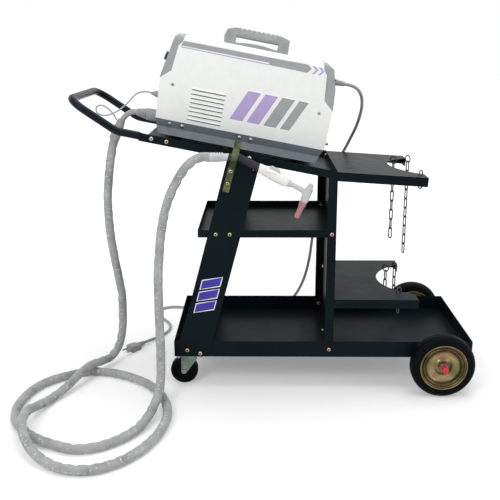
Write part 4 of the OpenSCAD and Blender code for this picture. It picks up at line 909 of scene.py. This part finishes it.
print_violet = moulded("violet print", (172, 156, 204), 0.4, 4, 0.00003)
print_grey = moulded("grey print", (154, 154, 156), 0.4, 4, 0.00003)
print_white = moulded("white print", (246, 246, 248), 0.4, 2, 0.00003)
band = [
    (41.6, 228.6), (241.4, 229.5), (328.3, 231), (338.4, 223),
    (329.5, 212.4), (241.9, 213.2), (240.1, 217.8), (36.5, 217.4),
]
line_under = [(38.2, 215.5), (240.8, 214.6), (241.2, 212.5), (38, 213.4)]
chevrons = [
    [
        (338.6, 229.3), (344.6, 230.2), (354.7, 222.8),
        (345.7, 212.3), (340.8, 212.4), (348.7, 221.7),
    ],
    [
        (353.3, 229.2), (358.7, 230.2), (367.8, 222.6),
        (359.8, 212.3), (355, 212.5), (362.3, 221.6),
    ],
]
case_bars = [[(a, 76), (a + 30, 76), (a + 62, 147), (a + 32, 147)] for a in (174, 214, 254)]
case_bars.append([(294, 76), (316, 76), (348, 147), (326, 147)])
case_face = 0.08002
for side in ("near", "far"):
    face = welder @ mirror[side] @ Matrix.Translation((0, -case_face, 0))
    for name, outlines, depth, finish in (
        ("band", [band], 0.00012, print_grey),
        ("white_edges", [grown(bar, 2.4) for bar in case_bars], 0.00010, print_white),
        ("violet_marks", [line_under] + chevrons + case_bars[:2], 0.00018, print_violet),
        ("grey_bars", case_bars[2:], 0.00018, print_grey),
    ):
        bm = joined([plate(outline, depth, face) for outline in outlines])
        bmesh.ops.recalc_face_normals(bm, faces=bm.faces)
        piece(f"{side}_case_{name}", bm, finish)

# ---- Case ends ----
# Grey moulded bezels over the cover's ends. The front holds the control panel with its
# window, knob and button, and the two current sockets; the rear the switch and fan.

for node in ("front_bezel", "rear_bezel"):
    drawn(node, case_grey, 0.0012)
dark = moulded("dark plastic", (40, 41, 44), 0.45, 5, Specular_IOR_Level=0.35)
panel_black = moulded("panel foil", (46, 47, 51), 0.36, 4, 0.00005)
drawn("control_panel", panel_black, 0.0005)
drawn("front_sockets", dark, 0.0005)
display = moulded("display window", (58, 12, 14), 0.16, 6, 0.00002, Coat_Weight=0.6)
drawn("display_window", display, 0.0003)
drawn("current_knob", dark, 0.0005, "knob")
drawn("mode_button", red, 0.0005, "button")

# The knob's printed scale, on the front's own slope, and the line on the knob
front_lean = math.radians(11.60)
front = welder @ Matrix.Translation((0, 0, 0.140)) @ Matrix.Rotation(front_lean, 4, "Y")
dial = front @ Matrix.Translation((-0.00202, 0.034, 0.042))
tick_count, dial_from, dial_step = 11, -140, 28
ticks = []
for k in range(tick_count):
    round_knob = dial @ Matrix.Rotation(math.radians(dial_from + dial_step * k), 4, "X")
    ticks.append(block((0.2, 3.4 if k % 5 == 0 else 2.2, 0.8), (0, 17.2, 0), round_knob))
piece("dial_ticks", joined(ticks), print_white)
pointer = block((0.5, 5.6, 1.3), (-15.8, 42, 42), front)
piece("knob_pointer", pointer, print_white, "knob")

drawn("power_switch", dark, 0.0006, "switch")
drawn("fan_frame", dark, 0.0005)
drawn("fan_rotor", dark, 0.0003, "fan")
drawn("fan_guard", zinc)
drawn("cord_gland", case_grey, 0.0005)
brass = surface("turned brass", srgb(196, 164, 92), 0.25, 1.0)
tint(brass, clouds(brass, 90, 4), ((0.3, srgb(176, 142, 76)), (0.7, srgb(208, 178, 108))))
sheen_of(brass, clouds(brass, 160), 0.18, 0.34)
drawn("gas_fittings", brass, 0.0003)

# ---- Carry handle ----
# Grey moulding screwed to the cover: two sloped posts with ribs on their faces, a thick
# grip ribbed across its top, and a low arched strip between the posts.

grip_seat = welder @ Matrix.Translation((0.128, 0, 0.242))
rib_places = [31 + 11.3 * k for k in range(9)]
ribs = [block((5, 20, 3), (a, 0, 37.2), grip_seat) for a in rib_places]
for s in (-1, 1):
    ribs += [block((5.5, 4, 8), (a, s * 11, 33.6), grip_seat) for a in rib_places]
    for post in (11, 141.5):
        ribs += [block((13, 2, 2.6), (post, s * 14, n), grip_seat) for n in (7, 13, 19, 25)]
piece(
    "carry_handle", joined([merged("carry_handle")] + ribs), case_grey,
    stands_for="carry_handle", rounding=0.001,
)

# ---- Power unit ----
# A ribbed alloy heat sink and a lacquered circuit board with its blocks, screwed to the
# base sheet inside the case.

# Painted shade: the heat sink's alloy and the board's lacquer are darker than their own colours,
# for the shade inside the case.
alloy = surface("heat sink alloy", srgb(96, 98, 102), 0.42, 1.0)
tint(alloy, clouds(alloy, 60, 4), ((0.3, srgb(84, 86, 90)), (0.7, srgb(112, 114, 118))))
sheen_of(alloy, clouds(alloy, 120), 0.34, 0.5)
drawn("heat_sink", alloy, 0.0003)
board = moulded("board lacquer", (24, 62, 36), 0.35, 6, 0.00008)
drawn("power_board", board, 0.0004)

# ---- Torch ----
# A moulded handle with a trigger and a dark sleeve where it lies over the leg, a neck and
# round head with a back cap, and a pink fired cup. It hangs by its stem on the near hook.

torch_shell = moulded("torch handle plastic", (226, 225, 221), 0.4, 4, 0.00006)
torch_grey = moulded("torch moulding", (186, 188, 190), 0.48, 5)
ceramic = surface("fired cup", srgb(164, 110, 106), 0.34, Coat_Weight=0.15)
tint(ceramic, clouds(ceramic, 140, 4), ((0.3, srgb(148, 94, 92)), (0.7, srgb(180, 130, 124))))
sheen_of(ceramic, clouds(ceramic, 90), 0.28, 0.44)
relief(ceramic, clouds(ceramic, 600, 3), 0.0001, 0.3)
bm = merged("torch_handle")
# The dark sleeve runs between two places across the leg. Before it the handle is grey, and
# past it off-white.
sleeve_from, sleeve_to = 0.001, 0.0735
for edge in (sleeve_from, sleeve_to):
    bmesh.ops.bisect_plane(
        bm, geom=bm.verts[:] + bm.edges[:] + bm.faces[:],
        plane_co=leg_frame @ Vector((edge, 0, 0)),
        plane_no=leg_frame.to_3x3() @ Vector((1, 0, 0)),
    )
for f in bm.faces:
    along = (leg_frame.inverted() @ f.calc_center_median()).x
    f.material_index = 1 if along < sleeve_from else 2 if along < sleeve_to else 0
handle = piece(
    "torch_handle", bm, torch_shell,
    stands_for="torch_handle", rounding=0.0006,
)
handle.data.materials.append(torch_grey)
handle.data.materials.append(black_rubber)
drawn("torch_head", torch_grey, 0.0006)
drawn("ceramic_cup", ceramic, 0.0005)
drawn("torch_cap", torch_grey, 0.0005, name="torch_back_cap")
drawn("torch_trigger", torch_grey, 0.0006, "trigger")

# ---- Plugs ----
# The lead's plug with its ribbed relief, the splitter boot, and the power cord's plug.

plug_rubber = moulded("plug rubber", (150, 151, 154), 0.55, 5)
lead_plug = drawn("lead_plug", plug_rubber, 0.0005, name="lead_plug_and_splitter_boot")
power_plug = drawn("power_plug", plug_rubber, 0.0012)
